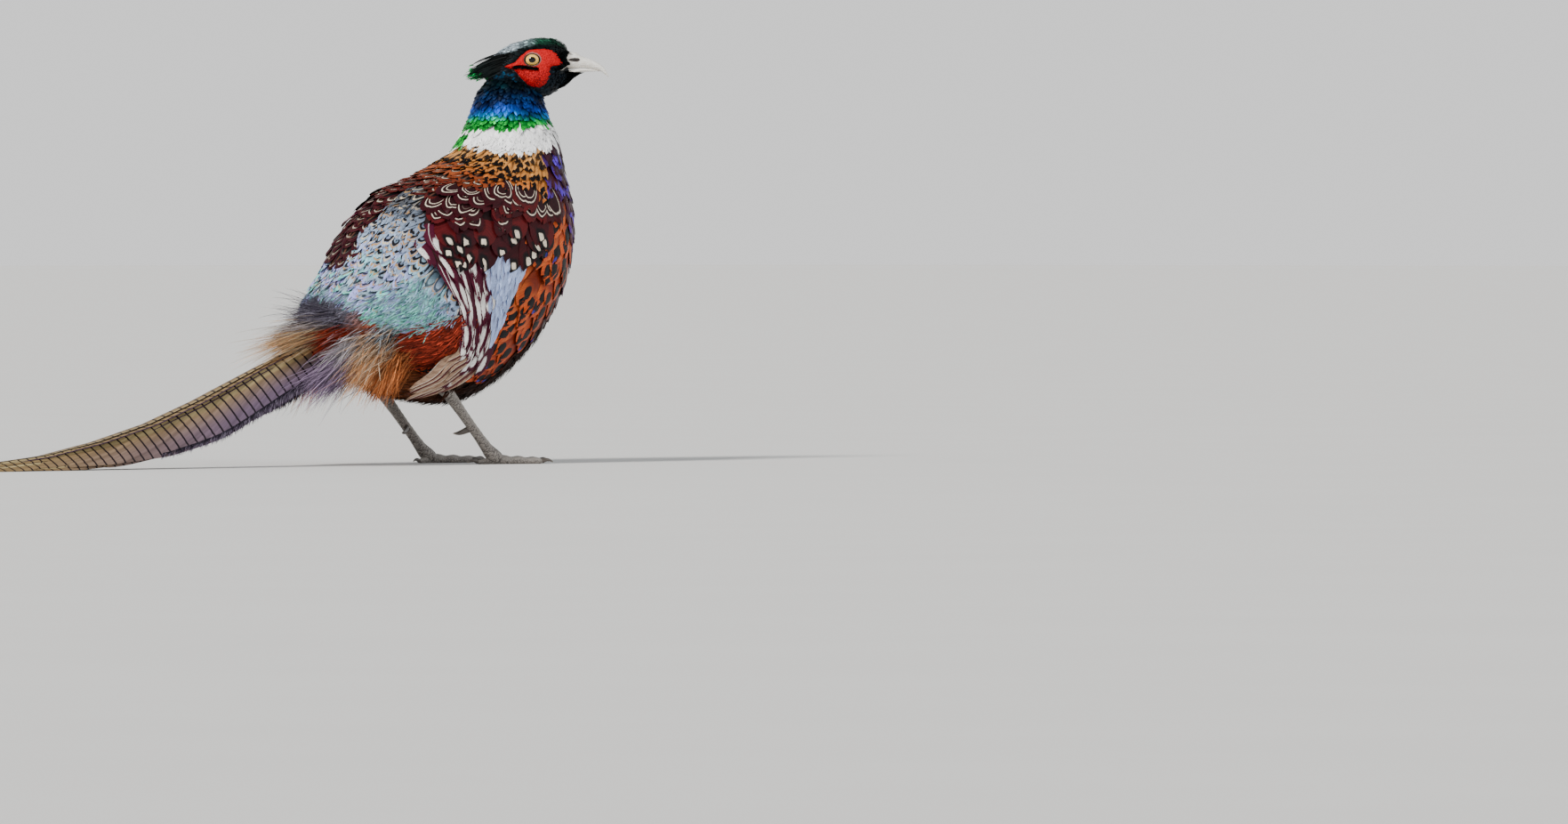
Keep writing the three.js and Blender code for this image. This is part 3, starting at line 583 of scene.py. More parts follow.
def scapular_colour(vane):
    """Concentric cream and black Us inside a maroon edge."""
    inner = (vane.ring.band(0.515, 0.555, 0.02) * vane.mark.step(0.2, 0.3)).mix(rgb(0.03, 0.006, 0.008),
        CREAM)
    marked = (vane.ring.band(0.71, 0.765, 0.02) * vane.strength).mix(inner, CREAM)
    return vane.ring.step(0.8, 0.9).mix(marked, vane.tone)


def spotted_colour(vane):
    """Maroon with a cream spot in black before the tip."""
    far = (vane.u - 0.86) * (vane.mark * 4 + 6.5)
    near = (vane.x - (vane.mark * 40).wave() * 0.1 + (vane.u - 0.86) * 0.9) * 3.6
    round_ = (far ** 4 + near ** 4) ** 0.25 + (vane.barbs - 0.5) * 0.35
    dark = (round_ * 0.5).step(1.0, 0.6).mix(vane.tone, BLACK)
    return (round_.step(0.82, 0.66) * vane.strength).mix(dark, CREAM)


def rump_colour(vane):
    """Blue-grey with a dark crescent, a buff one before the tip and a pale fringe."""
    base = vane.u.step(0.2, 0.7).mix(vane.tone.stain(rgb(0.3, 0.3, 0.32)), vane.tone)
    dark = (vane.ring.band(0.5, 0.72, 0.04) * vane.strength).mix(base, rgb(0.012, 0.01, 0.012))
    warm = vane.mark.step(0.5, 0.6).mix(rgb(0.9, 0.74, 0.5), rgb(0.6, 0.33, 0.12))
    buff = (vane.ring.band(0.75, 0.87, 0.03) * vane.strength * vane.mark.step(0.1, 0.4)).mix(dark, warm)
    return (vane.ring.step(0.86, 0.97) * 0.6).mix(buff, vane.tone.stain(rgb(1.5, 1.5, 1.5)))


def flank_colour(vane):
    """Copper with a black diamond at the tip, on some feathers a painted violet glint in the diamond."""
    far = vane.u - 0.8
    near = vane.side * (far.most(0.0) * 5 + 1.25)
    diamond = ((far * far * 8 + near * near) ** 0.5 + (vane.barbs - 0.5) * 0.15).step(0.6, 0.54)
    # Painted highlight: a violet glint on the black diamond of some feathers
    violet = vane.mark.step(0.86, 0.9) * vane.u.step(0.86, 0.92) * vane.side.step(0.2, 0.05)
    spot = violet.mix(rgb(0.004, 0.003, 0.004), rgb(0.05, 0.04, 0.4))
    deep = vane.u.step(0.45, 0.8).mix(vane.tone.stain(rgb(0.35, 0.22, 0.2)), vane.tone)
    edge = (vane.side.step(0.3, 0.8) * 0.6).mix(deep, deep.stain(rgb(1.25, 1.9, 1.9)))
    return (diamond * vane.strength).mix(edge, spot)


def breast_colour(vane):
    """Nearly black maroon with painted violet-blue glints round some tips."""
    # Painted highlight: a violet-blue glint near the tip, as strong as the feather's strength
    gloss = vane.ring.step(0.6, 0.9) * vane.strength * (vane.barbs * 0.9 + 0.3)
    return gloss.mix(vane.tone, rgb(0.2, 0.07, 1.2))


def plain_colour(vane):
    return vane.u.step(0.2, 0.85).mix(vane.tone.stain(rgb(0.16, 0.16, 0.18)), vane.tone)


def down_colour(vane):
    return vane.u.step(0.0, 0.5).mix(vane.tone.stain(rgb(0.5, 0.47, 0.46)), vane.tone)


def collar_colour(vane):
    return vane.u.step(0.1, 0.5).mix(vane.tone.stain(rgb(0.7, 0.7, 0.72)), vane.tone)


def streaked_colour(vane):
    """A maroon covert with a long white blob beside the shaft, its edge torn along the barbs."""
    aside = (vane.x - (vane.mark - 0.5) * 1.1) * 1.75
    far = (vane.u - 0.72 + (vane.mark * 7).wave() * 0.06) * 4.3
    round_ = (aside * aside + far * far) ** 0.5 + (vane.barbs - 0.5) * 1.1
    white = round_.step(1.0, 0.82)
    shaft = vane.side.band(0.3, 0.42, 0.03) * vane.u.step(0.95, 0.9) * vane.mark.step(0.7, 0.75)
    return (white.most(shaft) * vane.strength).mix(vane.tone, rgb(1.0, 0.97, 0.93))


def flight_colour(vane):
    """Buff webs with a maroon-brown stripe beside the shaft, faint bars and a cream edge."""
    bar = ((vane.u * 8 - vane.side * 0.55 + vane.mark) * 6.283).wave().step(0.1, 0.6)
    stripe = (vane.x + (vane.barbs - 0.5) * 0.2).band(0.05, 0.55, 0.06)
    web = (bar * 0.3).mix(rgb(0.42, 0.27, 0.18), rgb(0.16, 0.07, 0.05))
    striped = (stripe * 0.95).mix(web, rgb(0.1, 0.016, 0.02))
    edged = vane.side.step(0.84, 0.95).mix(striped, rgb(0.7, 0.6, 0.5))
    return vane.side.step(0.08, 0.03).mix(edged, rgb(0.7, 0.6, 0.48))


def tail_colour(vane):
    """Olive-buff with narrow curved dark bars, a dark shaft and purple-grey outer edges."""
    sweep = vane.side * 0.9 - vane.side * vane.side * 0.45
    run = vane.u * (TAIL_LONG / BAR_APART) + sweep + vane.mark + (vane.barbs - 0.5) * 0.2
    bar = (run * 6.283).wave().step(0.72, 0.94)
    outer = vane.x.step(0.15, 0.8) * vane.u.step(0.75, 0.2)
    ground = outer.mix(rgb(0.3, 0.2, 0.09), rgb(0.16, 0.11, 0.17))
    cream = vane.side.band(0.05, 0.3, 0.05).mix(ground, rgb(0.46, 0.35, 0.17))
    barred = bar.mix(cream, rgb(0.008, 0.004, 0.008))
    rim = vane.x.step(-0.86, -0.97).mix(barred, rgb(0.06, 0.03, 0.07))
    return vane.side.step(0.075, 0.035).mix(rim, rgb(0.02, 0.012, 0.01))


def covert_colour(vane):
    """Powder blue with a maroon shaft streak."""
    streak = (vane.side + (vane.barbs - 0.5) * 0.3).step(0.22, 0.08) * vane.u.step(0.95, 0.7)
    return (streak * 0.55 * vane.strength).mix(vane.tone, MAROON)


def bare_paint(start):
    """Velvety red skin in small pebbles, with painted shade in the pits between them, deeper low down."""
    x, z, rho = start.place()
    spot = start.vector(x, z, rho * 0)
    pebble = start.cells(spot, 1.15)
    pits = pebble.step(0.35, 0.7)
    low = z.step(-4, -12)
    # Painted shade: the pits between the pebbles darken, more on the low part
    red = (pits * (low * 0.5 + 0.35)).mix(rgb(0.56, 0.004, 0.006), rgb(0.14, 0.001, 0.004))
    soft = start.noise(spot, 0.35, 2.0).step(0.35, 0.7)
    return {
        "Base Color": (soft * 0.5).mix(red, red.stain(rgb(1.2, 0.8, 0.8))),
        "Roughness": pits * 0.25 + 0.42,
        "Normal": start.bump(1 - pebble, 0.0006, 0.9),
    }


def eye_paint(start):
    turn, x, z = start.place()
    fibres = start.noise(start.vector(x * 9, z * 9, turn * 12), 1.6, 3.0)
    pale = (fibres.step(0.35, 0.7)).mix(rgb(0.72, 0.36, 0.04), rgb(0.98, 0.72, 0.2))
    iris = turn.step(0.21, 0.24).mix(pale, rgb(0.03, 0.014, 0.01))
    return {"Base Color": turn.step(0.108, 0.118).mix(rgb(0.001, 0.001, 0.001), iris)}


def lid_paint(start):
    turn, inner, outer = start.place()
    grain = start.noise(start.vector(turn * 60, inner * 3, outer * 3), 1.4, 2.0)
    skin = grain.mix(rgb(0.2, 0.04, 0.035), rgb(0.42, 0.2, 0.17))
    return {
        "Base Color": inner.step(-0.05, -0.45).mix(skin, rgb(0.01, 0.005, 0.005)),
        "Roughness": grain * 0.2 + 0.4,
        "Normal": start.bump(grain, 0.0002, 0.8),
    }


def horn_paint(start):
    far, y, z = start.place()
    grain = start.noise(start.vector(far * 3, y * 9, z * 9), 1.3, 3.0)
    pale = grain.step(0.3, 0.75).mix(rgb(0.68, 0.63, 0.55), rgb(0.98, 0.97, 0.93))
    # Painted shade: the nostril's slit is painted nearly black for the dark inside of the opening
    nostril = (far - 0.12) * 7
    rise = (z - 0.02) * (far * -10 + 7.5)
    slit = (nostril * nostril + rise * rise).step(1.5, 0.9)
    return {
        "Base Color": slit.mix((far.step(0.12, -0.05) * 0.6).mix(pale, rgb(0.3, 0.26, 0.22)),
                               rgb(0.02, 0.013, 0.01)),
        "Roughness": grain * 0.2 + 0.22,
        "Normal": start.bump(grain, 0.0002, 0.5),
    }


def scale_paint(start):
    """Grey-brown scutes with pale edges and a fine network between them."""
    along, round_, front = start.place()
    net = start.cells(start.vector(along * 60, round_ * 7, 0.0), 1.0, "DISTANCE_TO_EDGE")
    grain = start.noise(start.vector(along * 30, round_ * 6, front), 2.0, 3.0)
    skin = grain.mix(rgb(0.17, 0.15, 0.13), rgb(0.34, 0.31, 0.28))
    lines = net.step(0.12, 0.02) * (1 - front)
    return {
        "Base Color": lines.mix(skin, rgb(0.06, 0.05, 0.045)),
        "Roughness": grain * 0.25 + 0.35,
        "Normal": start.bump(net.least(0.2) * 4 * (1 - front) + grain * 0.4, 0.0004, 0.7),
    }


def claw_paint(start):
    far, round_, _ = start.place()
    grain = start.noise(start.vector(far * 4, round_ * 8, 0.0), 2.0, 2.0)
    dark = grain.mix(rgb(0.04, 0.032, 0.026), rgb(0.1, 0.08, 0.065))
    return {"Base Color": far.step(0.75, 1.0).mix(dark, rgb(0.2, 0.17, 0.13)),
            "Roughness": grain * 0.2 + 0.25}


def skin_paint(start):
    down = start.noise(start.spot(), 700, 3.0)
    return {
        "Base Color": start.tone().stain(start.grey(down * 0.5 + 0.15)),
        "Roughness": down * 0.2 + 0.7,
        "Normal": start.bump(down, 0.0006, 0.8),
    }


MATERIALS = {
    "mantle": plume("mantle_feather", mantle_colour, 0.55),
    "back": plume("back_feather", back_colour, 0.5),
    "scapular": plume("scapular_feather", scapular_colour, 0.5),
    "spotted": plume("spotted_covert", spotted_colour, 0.5),
    "rump": plume("rump_feather", rump_colour, 0.6),
    "flank": plume("flank_feather", flank_colour, 0.45),
    "breast": plume("breast_feather", breast_colour, 0.4),
    "neck": plume("neck_feather", plain_colour, 0.32, Metallic=0.5),
    "collar": plume("collar_feather", collar_colour, 0.7),
    "head": plume("head_feather", plain_colour, 0.42, 0.0001, Metallic=0.3),
    "plain": plume("plain_feather", plain_colour, 0.65),
    "hair": plume("loose_feather", plain_colour, 0.6),
    "down": plume("root_down", down_colour, 0.6),
    "streaked": plume("streaked_covert", streaked_colour, 0.55),
    "flight": plume("flight_feather", flight_colour, 0.5),
    "blue": plume("blue_covert", covert_colour, 0.55),
    "tail": plume("tail_feather", tail_colour, 0.5, 0.0002),
    "bare": surface_of("bare_skin", bare_paint, Specular_IOR_Level=0.15),
    "eye": surface_of("wet_eye", eye_paint, Roughness=0.08, Specular_IOR_Level=0.35),
    "lid": surface_of("lid_skin", lid_paint),
    "horn": surface_of("bill_horn", horn_paint, Coat_Weight=0.2),
    "scales": surface_of("leg_scales", scale_paint),
    "claw": surface_of("claw_horn", claw_paint, Coat_Weight=0.3),
    "skin": surface_of("down_skin", skin_paint),
}


# Where each kind of feather grows on the trunk, by section and by angle from the back
COLLAR_LOW = [[0, 6.15], [19, 6.0], [42, 5.9], [64, 6.1], [86, 6.4], [138, 7.03], [180, 7.2]]
COLLAR_HIGH = [[0, 7.1], [24, 7.1], [40, 7.17], [68, 7.37], [96, 7.53], [130, 7.7], [180, 7.8]]
MANTLE_LOW = [[0, 5.25], [6, 5.3], [23, 4.93], [40, 4.73], [60, 4.63], [80, 4.73], [180, 4.9]]
SCAPULAR_LOW = [[20, 3.75], [26, 3.6], [40, 3.0], [50, 2.77], [60, 2.87], [69, 3.07], [76, 3.4],
                [87, 3.6], [92, 3.83], [96, 4.3]]
SCAPULAR_HIGH = [[20, 3.7], [26, 3.8], [31, 4.03], [44, 4.27], [56, 4.53], [73, 4.7], [96, 4.75]]
SPOTTED_EDGE = [[26, 3.2], [45, 3.25], [60, 3.6], [75, 4.05], [88, 4.35], [96, 4.6]]
BREAST_EDGE = [[4.6, 118], [4.77, 112], [4.9, 99], [5.1, 90], [5.73, 87], [6.33, 84], [7.2, 78]]
RUMP_TOP = [[0, 3.9], [12, 4.0], [28, 3.63], [40, 3.15], [50, 2.9], [70, 2.75], [86, 2.6], [92, 0]]
RUMP_LOW = [[0, 1.15], [60, 1.1], [76, 1.2], [82, 1.75], [88, 2.4], [93, 4]]
FAR_BACK_LOW = [[-5, 2.0], [8, 1.85], [30, 2.2], [62, 2.9]]
FRINGE_LOW = [[0, 0.5], [66, 0.43], [104, 0.6], [118, 0.8], [130, 1.6]]
FRINGE_EDGE = [[0, 104], [1.0, 114], [1.6, 109], [2.0, 103], [2.4, 100]]
BELLY_EDGE = [[0, 96], [1, 112], [1.6, 130], [2, 137], [2.4, 139], [3, 140], [3.4, 139], [3.9, 136],
              [4.4, 132], [5, 121]]


CAPE = ("scapular", "spotted")


def trunk_kind(t, phi):
    """The name of the plumage at each place."""
    p = np.abs(phi)
    kind = np.full(np.shape(t), "flank", dtype="<U9")
    under = p > line(BELLY_EDGE, t)
    kind[under] = "belly"
    kind[under & (t > 3.3)] = "breast"
    upper = p < 84
    kind[upper & (t < line(MANTLE_LOW, p))] = "back"
    kind[(p < 93) & (t < line(RUMP_TOP, p))] = "rump"
    far_side = (phi > -5) & (phi < 62) & (t < 4.9)
    kind[far_side & (t > line(FAR_BACK_LOW, phi))] = "back"
    cape = (t > line(SCAPULAR_LOW, p)) & (t < line(SCAPULAR_HIGH, p)) & (p < 95)
    kind[cape] = "scapular"
    kind[cape & (t < line(SPOTTED_EDGE, p))] = "spotted"
    fringe = (t < line(RUMP_LOW, p)) & (p < line(FRINGE_EDGE, t)) & (t < 2.45)
    kind[fringe] = "fringe"
    kind[fringe & ((t < line(FRINGE_LOW, p)) | (p < 66))] = "vent"
    kind[(t < 0.45) & (kind == "belly")] = "vent"
    kind[(p < line(BREAST_EDGE, t)) & (t > line(MANTLE_LOW, p))] = "mantle"
    kind[(p >= line(BREAST_EDGE, t)) & (t > 4.62)] = "breast"
    kind[t > line(COLLAR_LOW, p)] = "collar"
    kind[(t > line(COLLAR_HIGH, p)) | ((t > 6.1) & (phi > 8) & (phi < 48) & (t < 6.8))] = "neck"
    return kind


def under_wing(t, phi, margin=3.5):
    """Places that a folded wing hides."""
    p = np.abs(phi)
    hidden = np.zeros(np.shape(t), bool)
    for side, sign in SIDES.items():
        upper = line(WING_UPPER[side], t)
        lower = line(WING_LOWER, t)
        inside = np.minimum(p - upper, lower - p) > margin
        hidden |= inside & (phi * sign > 0) & (t > 2.75) & (t < 4.7)
    return hidden


def blend(stops, x):
    """A colour that changes along x, from rows of x, red, green, blue and strength."""
    rows = np.array(stops, float)
    return stacked(*(np.interp(x, rows[:, 0], rows[:, k]) for k in range(1, 5)))


# Colours along the body or round it from the back: rows of the place, red, green, blue and strength
ALONG = {
    "mantle": [[4.6, 0.4, 0.07, 0.015, 1], [5.0, 0.52, 0.15, 0.03, 1], [5.5, 0.62, 0.24, 0.055, 1],
               [6.2, 0.6, 0.28, 0.09, 0.95]],
    "back": [[2, 0.045, 0.006, 0.012, 0.5], [3.5, 0.07, 0.007, 0.011, 0.7],
             [4.4, 0.16, 0.022, 0.01, 0.8], [4.9, 0.42, 0.09, 0.02, 0.4]],
    "rump": [[0.8, 0.34, 0.5, 0.58, 0.4], [1.3, 0.34, 0.5, 0.6, 0.85], [2.3, 0.36, 0.48, 0.68, 1],
             [2.9, 0.28, 0.36, 0.5, 1],
             [3.5, 0.09, 0.1, 0.12, 1]],
    "fringe": [[0.3, 0.5, 0.15, 0.055, 0], [1.2, 0.28, 0.03, 0.014, 0], [2.4, 0.34, 0.035, 0.014, 0]],
    # On the breast the strength column sets how much painted violet glint the feathers show
    "breast": [[3.3, 0.04, 0.013, 0.01, 0], [3.7, 0.06, 0.013, 0.01, 0.1],
               [4.5, 0.1, 0.012, 0.012, 0.25],
               [5.1, 0.06, 0.006, 0.012, 0.75], [6.2, 0.035, 0.005, 0.014, 1]],
    "collar": [[5, 1.3, 1.3, 1.3, 0], [8, 1.3, 1.3, 1.3, 0]],
    "neck": [[7, 0.001, 0.5, 0.04, 0], [7.9, 0.001, 0.48, 0.06, 0], [8.15, 0.001, 0.15, 0.34, 0],
             [8.5, 0.001, 0.05, 0.38, 0],
             [8.75, 0.002, 0.02, 0.12, 0], [9.1, 0.002, 0.02, 0.08, 0], [9.6, 0.002, 0.014, 0.02, 0],
             [10, 0.002, 0.006, 0.009, 0]],
}
AROUND = {
    "scapular": [[20, 0.045, 0.003, 0.008, 1], [96, 0.06, 0.003, 0.006, 1]],
    "spotted": [[20, 0.045, 0.003, 0.008, 1], [96, 0.06, 0.003, 0.006, 1]],
    "vent": [[40, 0.13, 0.13, 0.17, 0], [75, 0.5, 0.15, 0.06, 0], [112, 0.7, 0.3, 0.11, 0],
             [150, 0.1, 0.04, 0.02, 0]],
    # Flank copper darkens toward the underside: partly the real darker belly, partly painted shade under
    # the body
    "flank": [[90, 0.8, 0.13, 0.02, 1], [115, 0.72, 0.095, 0.016, 1], [134, 0.5, 0.06, 0.014, 1],
              [145, 0.1, 0.02, 0.01, 1]],
    "belly": [[110, 0.07, 0.018, 0.01, 0], [150, 0.035, 0.013, 0.008, 0]],
}
RUMP_GREEN = np.array([0.14, 0.62, 0.4])
BELLY_WARM = np.array([0.42, 0.12, 0.035, 0])


def trunk_tone(kind, t, phi, seed=0):
    """Each feather's colour, with the strength of its marking last. On the neck it holds painted patches of
    highlight and shade, and on the breast the strength sets painted violet glints.
    """
    draw = np.random.default_rng(seed)
    p = np.abs(phi)
    n = np.size(t)
    tone = blend(ALONG[kind], t) if kind in ALONG else blend(AROUND[kind], p)
    if kind in CAPE:
        tone[:, :3] *= np.where(draw.random((n, 1)) < 0.25, [[2.0, 2.2, 1.2]], [[0.9, 0.9, 0.9]])
    elif kind == "rump":
        mint = draw.random(n)[:, None] + 0.25 * np.sin(t * 5.3 + p * 0.09)[:,
            None] * np.sin(p * 0.13)[:, None]
        shift = np.where(mint < 0.3, [[0.6, 1.35, 1.0]],
                         np.where(mint > 0.7, [[1.15, 0.85, 1.35]], [[1, 1, 1]]))
        tone[:, :3] *= 1 + (shift - 1) * smooth(2.9, 1.6, t)[:, None]
        green = smooth(44, 60, p) * smooth(2.4, 2.1, t)
        tone[:, 3] *= 1 - 0.85 * green
        tone[:, :3] += (0.75 * green * draw.random(n))[:, None] * (RUMP_GREEN - tone[:, :3])
    elif kind == "belly":
        warm = smooth(1.9, 0.6, t)[:, None]
        tone = tone * (1 - warm) + warm * BELLY_WARM
    elif kind == "breast":
        # The breast's strength sets how much painted glint each feather shows, less at the patch's ends
        tone[:, 3] *= smooth(0.4, 0.95, draw.random(n)) * np.interp(p, [84, 92, 125, 140],
            [0.5, 1, 1, 0.4])
    elif kind == "neck":
        # Painted highlight and shade on the glossy neck: broad waves and per-feather changes make patches
        # of bright sheen and dark gaps
        wave = np.sin(t * 7 + p * 0.11) + np.sin(t * 4 - p * 0.07 + 2)
        tone[:, :3] *= np.exp(0.3 * draw.normal(size=(n, 1)) + 0.38 * np.asarray(wave)[:, None])
    return tone


def lattice(surface, steps, a_range, b_range, apart, keep, seed, jitter=0.22):
    """Roots in staggered rows over a surface, apart millimetres along and across."""
    draw = np.random.default_rng(seed)
    step_a, step_b = steps
    a, roots, odd = a_range[0], [], False
    b_fine = np.linspace(*b_range, 181)
    while a < a_range[1]:
        row = surface(np.full_like(b_fine, a), b_fine, np.zeros_like(b_fine))
        run = np.concatenate([[0], np.cumsum(np.linalg.norm(np.diff(row, axis=0), axis=1))])
        places = np.arange(0.5 * odd * apart[1], run[-1], apart[1])
        b = np.interp(places, run, b_fine)
        roots.append(stacked(np.full_like(b, a), b))
        ahead = surface(np.full_like(b_fine, a + step_a), b_fine, np.zeros_like(b_fine))
        a += apart[0] * step_a / max(np.percentile(np.linalg.norm(ahead - row, axis=1), 60), 1e-6)
        odd = not odd
    a, b = np.concatenate(roots).T
    size_a = np.linalg.norm(surface(a + step_a, b, a * 0) - surface(a, b, a * 0), axis=1) / step_a
    size_b = np.linalg.norm(surface(a, b + step_b, a * 0) - surface(a, b, a * 0), axis=1) / step_b
    a = a + jitter * apart[0] * draw.normal(size=len(a)) / np.maximum(size_a, LEAST_STRETCH)
    b = b + jitter * apart[1] * draw.normal(size=len(a)) / np.maximum(size_b, LEAST_STRETCH)
    chosen = keep(a, b)
    return a[chosen], b[chosen]


def shown(surface, step, a, b, far):
    """The first coordinate of the place that lies far millimetres down the lie from a root."""
    return a - far / stretch(surface, a, b, step, 0)


# The range of both coordinates on the bake map, and the steps that measure the surface
TRUNK_STEPS = (0.02, 1.0)
TRUNK_WINDOW = (0, 10, -185, 185, *TRUNK_STEPS)
# Plumage of the trunk: spacing, length, half width, height of root and tip, rows, columns and material
TRUNK_PLUMAGE = {
    "mantle": dict(apart=(5.2, 5.2), long=15, half=3.9, rise=(-3.0, 0.4), material="mantle"),
    "back": dict(apart=(7, 7), long=20, half=5.4, rise=(-3.2, 0.5), material="back"),
    "scapular": dict(apart=(9, 10.5), long=25, half=7.8, heading=0.3, rise=(-1.5, 2.4), sway=0.3,
                     material="scapular"),
    "spotted": dict(apart=(10.5, 14), long=27, half=9.0, heading=0.42, rise=(-1.5, 2.6),
                    material="spotted"),
    "rump": dict(apart=(5.0, 7.0), long=20, half=4.9, rise=(-3.2, 0.4), ragged=0.12, material="rump"),
    "flank": dict(apart=(10.5, 12.5), long=30, half=9, rise=(-3.2, 0.4), columns=6, material="flank"),
    "breast": dict(apart=(6.2, 6.4), long=17, half=4.6, rise=(-3.0, 0.3), material="breast"),
    "belly": dict(apart=(5, 5), long=20, half=2.6, rise=(-3.2, 0.0), ragged=0.2, columns=2,
                  material="plain"),
    "collar": dict(apart=(3.0, 3.0), long=11, half=2.4, rise=(-2.0, 0.5), ragged=0.08, columns=2,
                   material="collar"),
    "neck": dict(apart=(2.8, 2.8), long=9, half=1.9, rise=(-2.0, 0.3), columns=2, rows=4,
                 material="neck"),
}


def seen_at(long):
    """Gives the place on the trunk where a feather of that length ends, from its root."""
    return lambda t, phi: np.maximum(shown(body, TRUNK_STEPS[0], t, phi, long), 0.02)


def dress_trunk():
    for number, (kind, plan) in enumerate(TRUNK_PLUMAGE.items()):
        plan = dict(plan)
        apart, material = plan.pop("apart"), plan.pop("material")
        seen = seen_at(plan["long"] - 0.6 * apart[0])
        keep = lambda t, phi: (trunk_kind(seen(t, phi), phi) == kind) & ((kind in CAPE) | ~under_wing(t,
            phi))
        t, phi = lattice(body, TRUNK_STEPS, (0.3, BODY_END - 0.05), (-180, 180), apart, keep, number)
        p = np.abs(phi)
        batch = Batch()
        tone = trunk_tone(kind, seen(t, phi), phi, number)
        plan["heading"] = plan.get("heading", 0) * np.sign(phi)
        root, tip = plan["rise"]
        plan["rise"] = (root, tip - 1.6 * smooth(1.9, 1.2, t) * smooth(60, 20, p) - 1.0
                        * smooth(105, 130, p))
        lay(batch, body, TRUNK_WINDOW, t, phi, tone=tone, seed=number, **plan)
        slot = "plumage_neck" if kind in ("neck", "collar") else "plumage_body"
        batch.build(f"{kind}_plumage", MATERIALS[material], slot=slot)


# Hair-like feathers of the trunk: spacing, length, half width and how much their colour varies
LOOSE_PLUMAGE = {
    "rump": (2.3, 19, 0.6, 0.4), "fringe": (1.9, 26, 0.6, 0.65), "vent": (2.0, 24, 0.5, 0.4),
    "belly": (3.4, 17, 0.5, 0.4),
}


def dress_loose():
    """Hair-like feathers: over the rump's lower part, the chestnut fringe, the vent and the belly."""
    for number, (kind, (apart, long, half, change)) in enumerate(LOOSE_PLUMAGE.items()):
        seen = seen_at(long * 0.7)

        def keep(t, phi):
            below = t < np.interp(np.abs(phi), [40, 54], [1.6, 2.5])
            return (trunk_kind(seen(t, phi), phi) == kind) & ~under_wing(t,
                phi) & ((kind != "rump") | below)

        t, phi = lattice(body, TRUNK_STEPS, (0.3, 5.5), (-180, 180), (apart, apart), keep, 40 + number,
                         0.5)
        t, phi = np.repeat(t, 2), np.repeat(phi, 2)
        tone = trunk_tone(kind, seen(t, phi), phi, 60 + number)
        tone[:, 3] = 0
        draw = np.random.default_rng(80 + number)
        tone[:, :3] *= np.exp(change * draw.normal(size=(len(t), 1)))
        batch = Batch()
        lay(batch, body, TRUNK_WINDOW, t, phi, long * draw.uniform(0.7, 1.15, len(t)), half, tone,
            50 + number,
            rise=(-2.4, 1.1), rows=4, columns=1, blunt=0.2, sway=0.22, camber=0.0, ragged=0, lift=0.6)
        batch.build(f"{kind}_hair", MATERIALS["hair"], slot="plumage_body")


# Wings
WING_WINDOW = (-10, 1, 0, 1, *WING_STEPS)
WING_SEEDS = {"right": 200, "left": 300}
BLUE = (0.52, 0.66, 1.05, 1)
STREAK = (0.085, 0.006, 0.024, 1)
BUFF = (0.42, 0.3, 0.18, 1)
WING_CORE = (0.1, 0.03, 0.03, 0)


def on_blue(a, q):
    return (-a > 2.15) & (-a < 4.4) & (q > 0.6 + 0.15 * np.maximum(-a - 2.6, 0))


def on_streaks(a, q):
    return (-a > 2.0) & (-a < 5.6) & (q <= 0.72 + 0.1 * np.maximum(-a - 2.6, 0))


def on_long_streaks(a, q):
    return (-a > 4.2) & (-a < 6.0)


# Coverts: part, colour, spacing, where they grow, and their shape
COVERTS = [
    ("blue", BLUE, (9, 5.4), on_blue, dict(long=27, half=4.8, rise=(-2.2, 0.8), blunt=0.7)),
    ("streaked", STREAK, (15, 9), on_streaks,
     dict(long=38, half=7.2, rise=(-2.4, 0.2), blunt=0.6, rows=9, columns=6)),
    ("streaked", STREAK, (18, 7), on_long_streaks,
     dict(long=46, half=5.6, rise=(-2.6, -0.2), blunt=0.6, rows=9, columns=6)),
]
# Flight feathers: stations of the first and last root, places across, count, length, half width and rise
FLIGHTS = [
    ((-4.9, -5.6), (0.08, 0.92), 6, 70, 7.0, (-2.2, -0.2)),
    ((-6.2, -6.2), (0.12, 0.9), 5, 48, 6.4, (-2.0, -0.6)),
]


def wing_core(surface):
    """Rings round the thin flesh and quills that the wing's feathers lie on."""
    station = np.linspace(-0.05, -8.6, 48)[:, None]
    there = np.linspace(0.01, 0.99, 16)
    across = np.concatenate([there, there[::-1]])
    under = np.arange(32) >= 16
    thick = 1 + 3.5 * smooth(6, 4.5, -station)
    top = -1.6 - 0.6 * smooth(6, 8, -station)
    return surface(*np.broadcast_arrays(station, across, top - under * thick))


def dress_wing(side):
    surface, seed = WINGS[side], WING_SEEDS[side]
    parts = {name: Batch() for name in ("blue", "streaked", "flight")}
    for number, (part, tone, apart, keep, plan) in enumerate(COVERTS, seed + 2):
        a, q = lattice(surface, WING_STEPS, (-9.2, 0.2), (0.03, 0.99), apart, keep, number, 0.16)
        lay(parts[part], surface, WING_WINDOW, a, q, tone=tone, seed=number, **plan)
    for number, (stations, places, n, long, half, rise) in enumerate(FLIGHTS, seed + 5):
        lay(parts["flight"], surface, WING_WINDOW, np.linspace(*stations, n), np.linspace(*places, n),
            long, half,
            BUFF, number, rise=rise, rows=14, columns=8, sway=0.02)
    ring_mesh(f"wing_{side}_base", wing_core(surface), MATERIALS["plain"], (f"wing_{side}",),
              "plumage_wing", tone=WING_CORE)
    for name, batch in parts.items():
        batch.build(f"wing_{side}_{name}", MATERIALS[name], slot="plumage_wing")


# Tail
def tail_wide(pair, u):
    """How far the webs are spread and hang, from 1 near the root to 0 near the tip."""
    return 1 - smooth(0.25, 0.8, u * pair["long"] / TAIL_LONG)


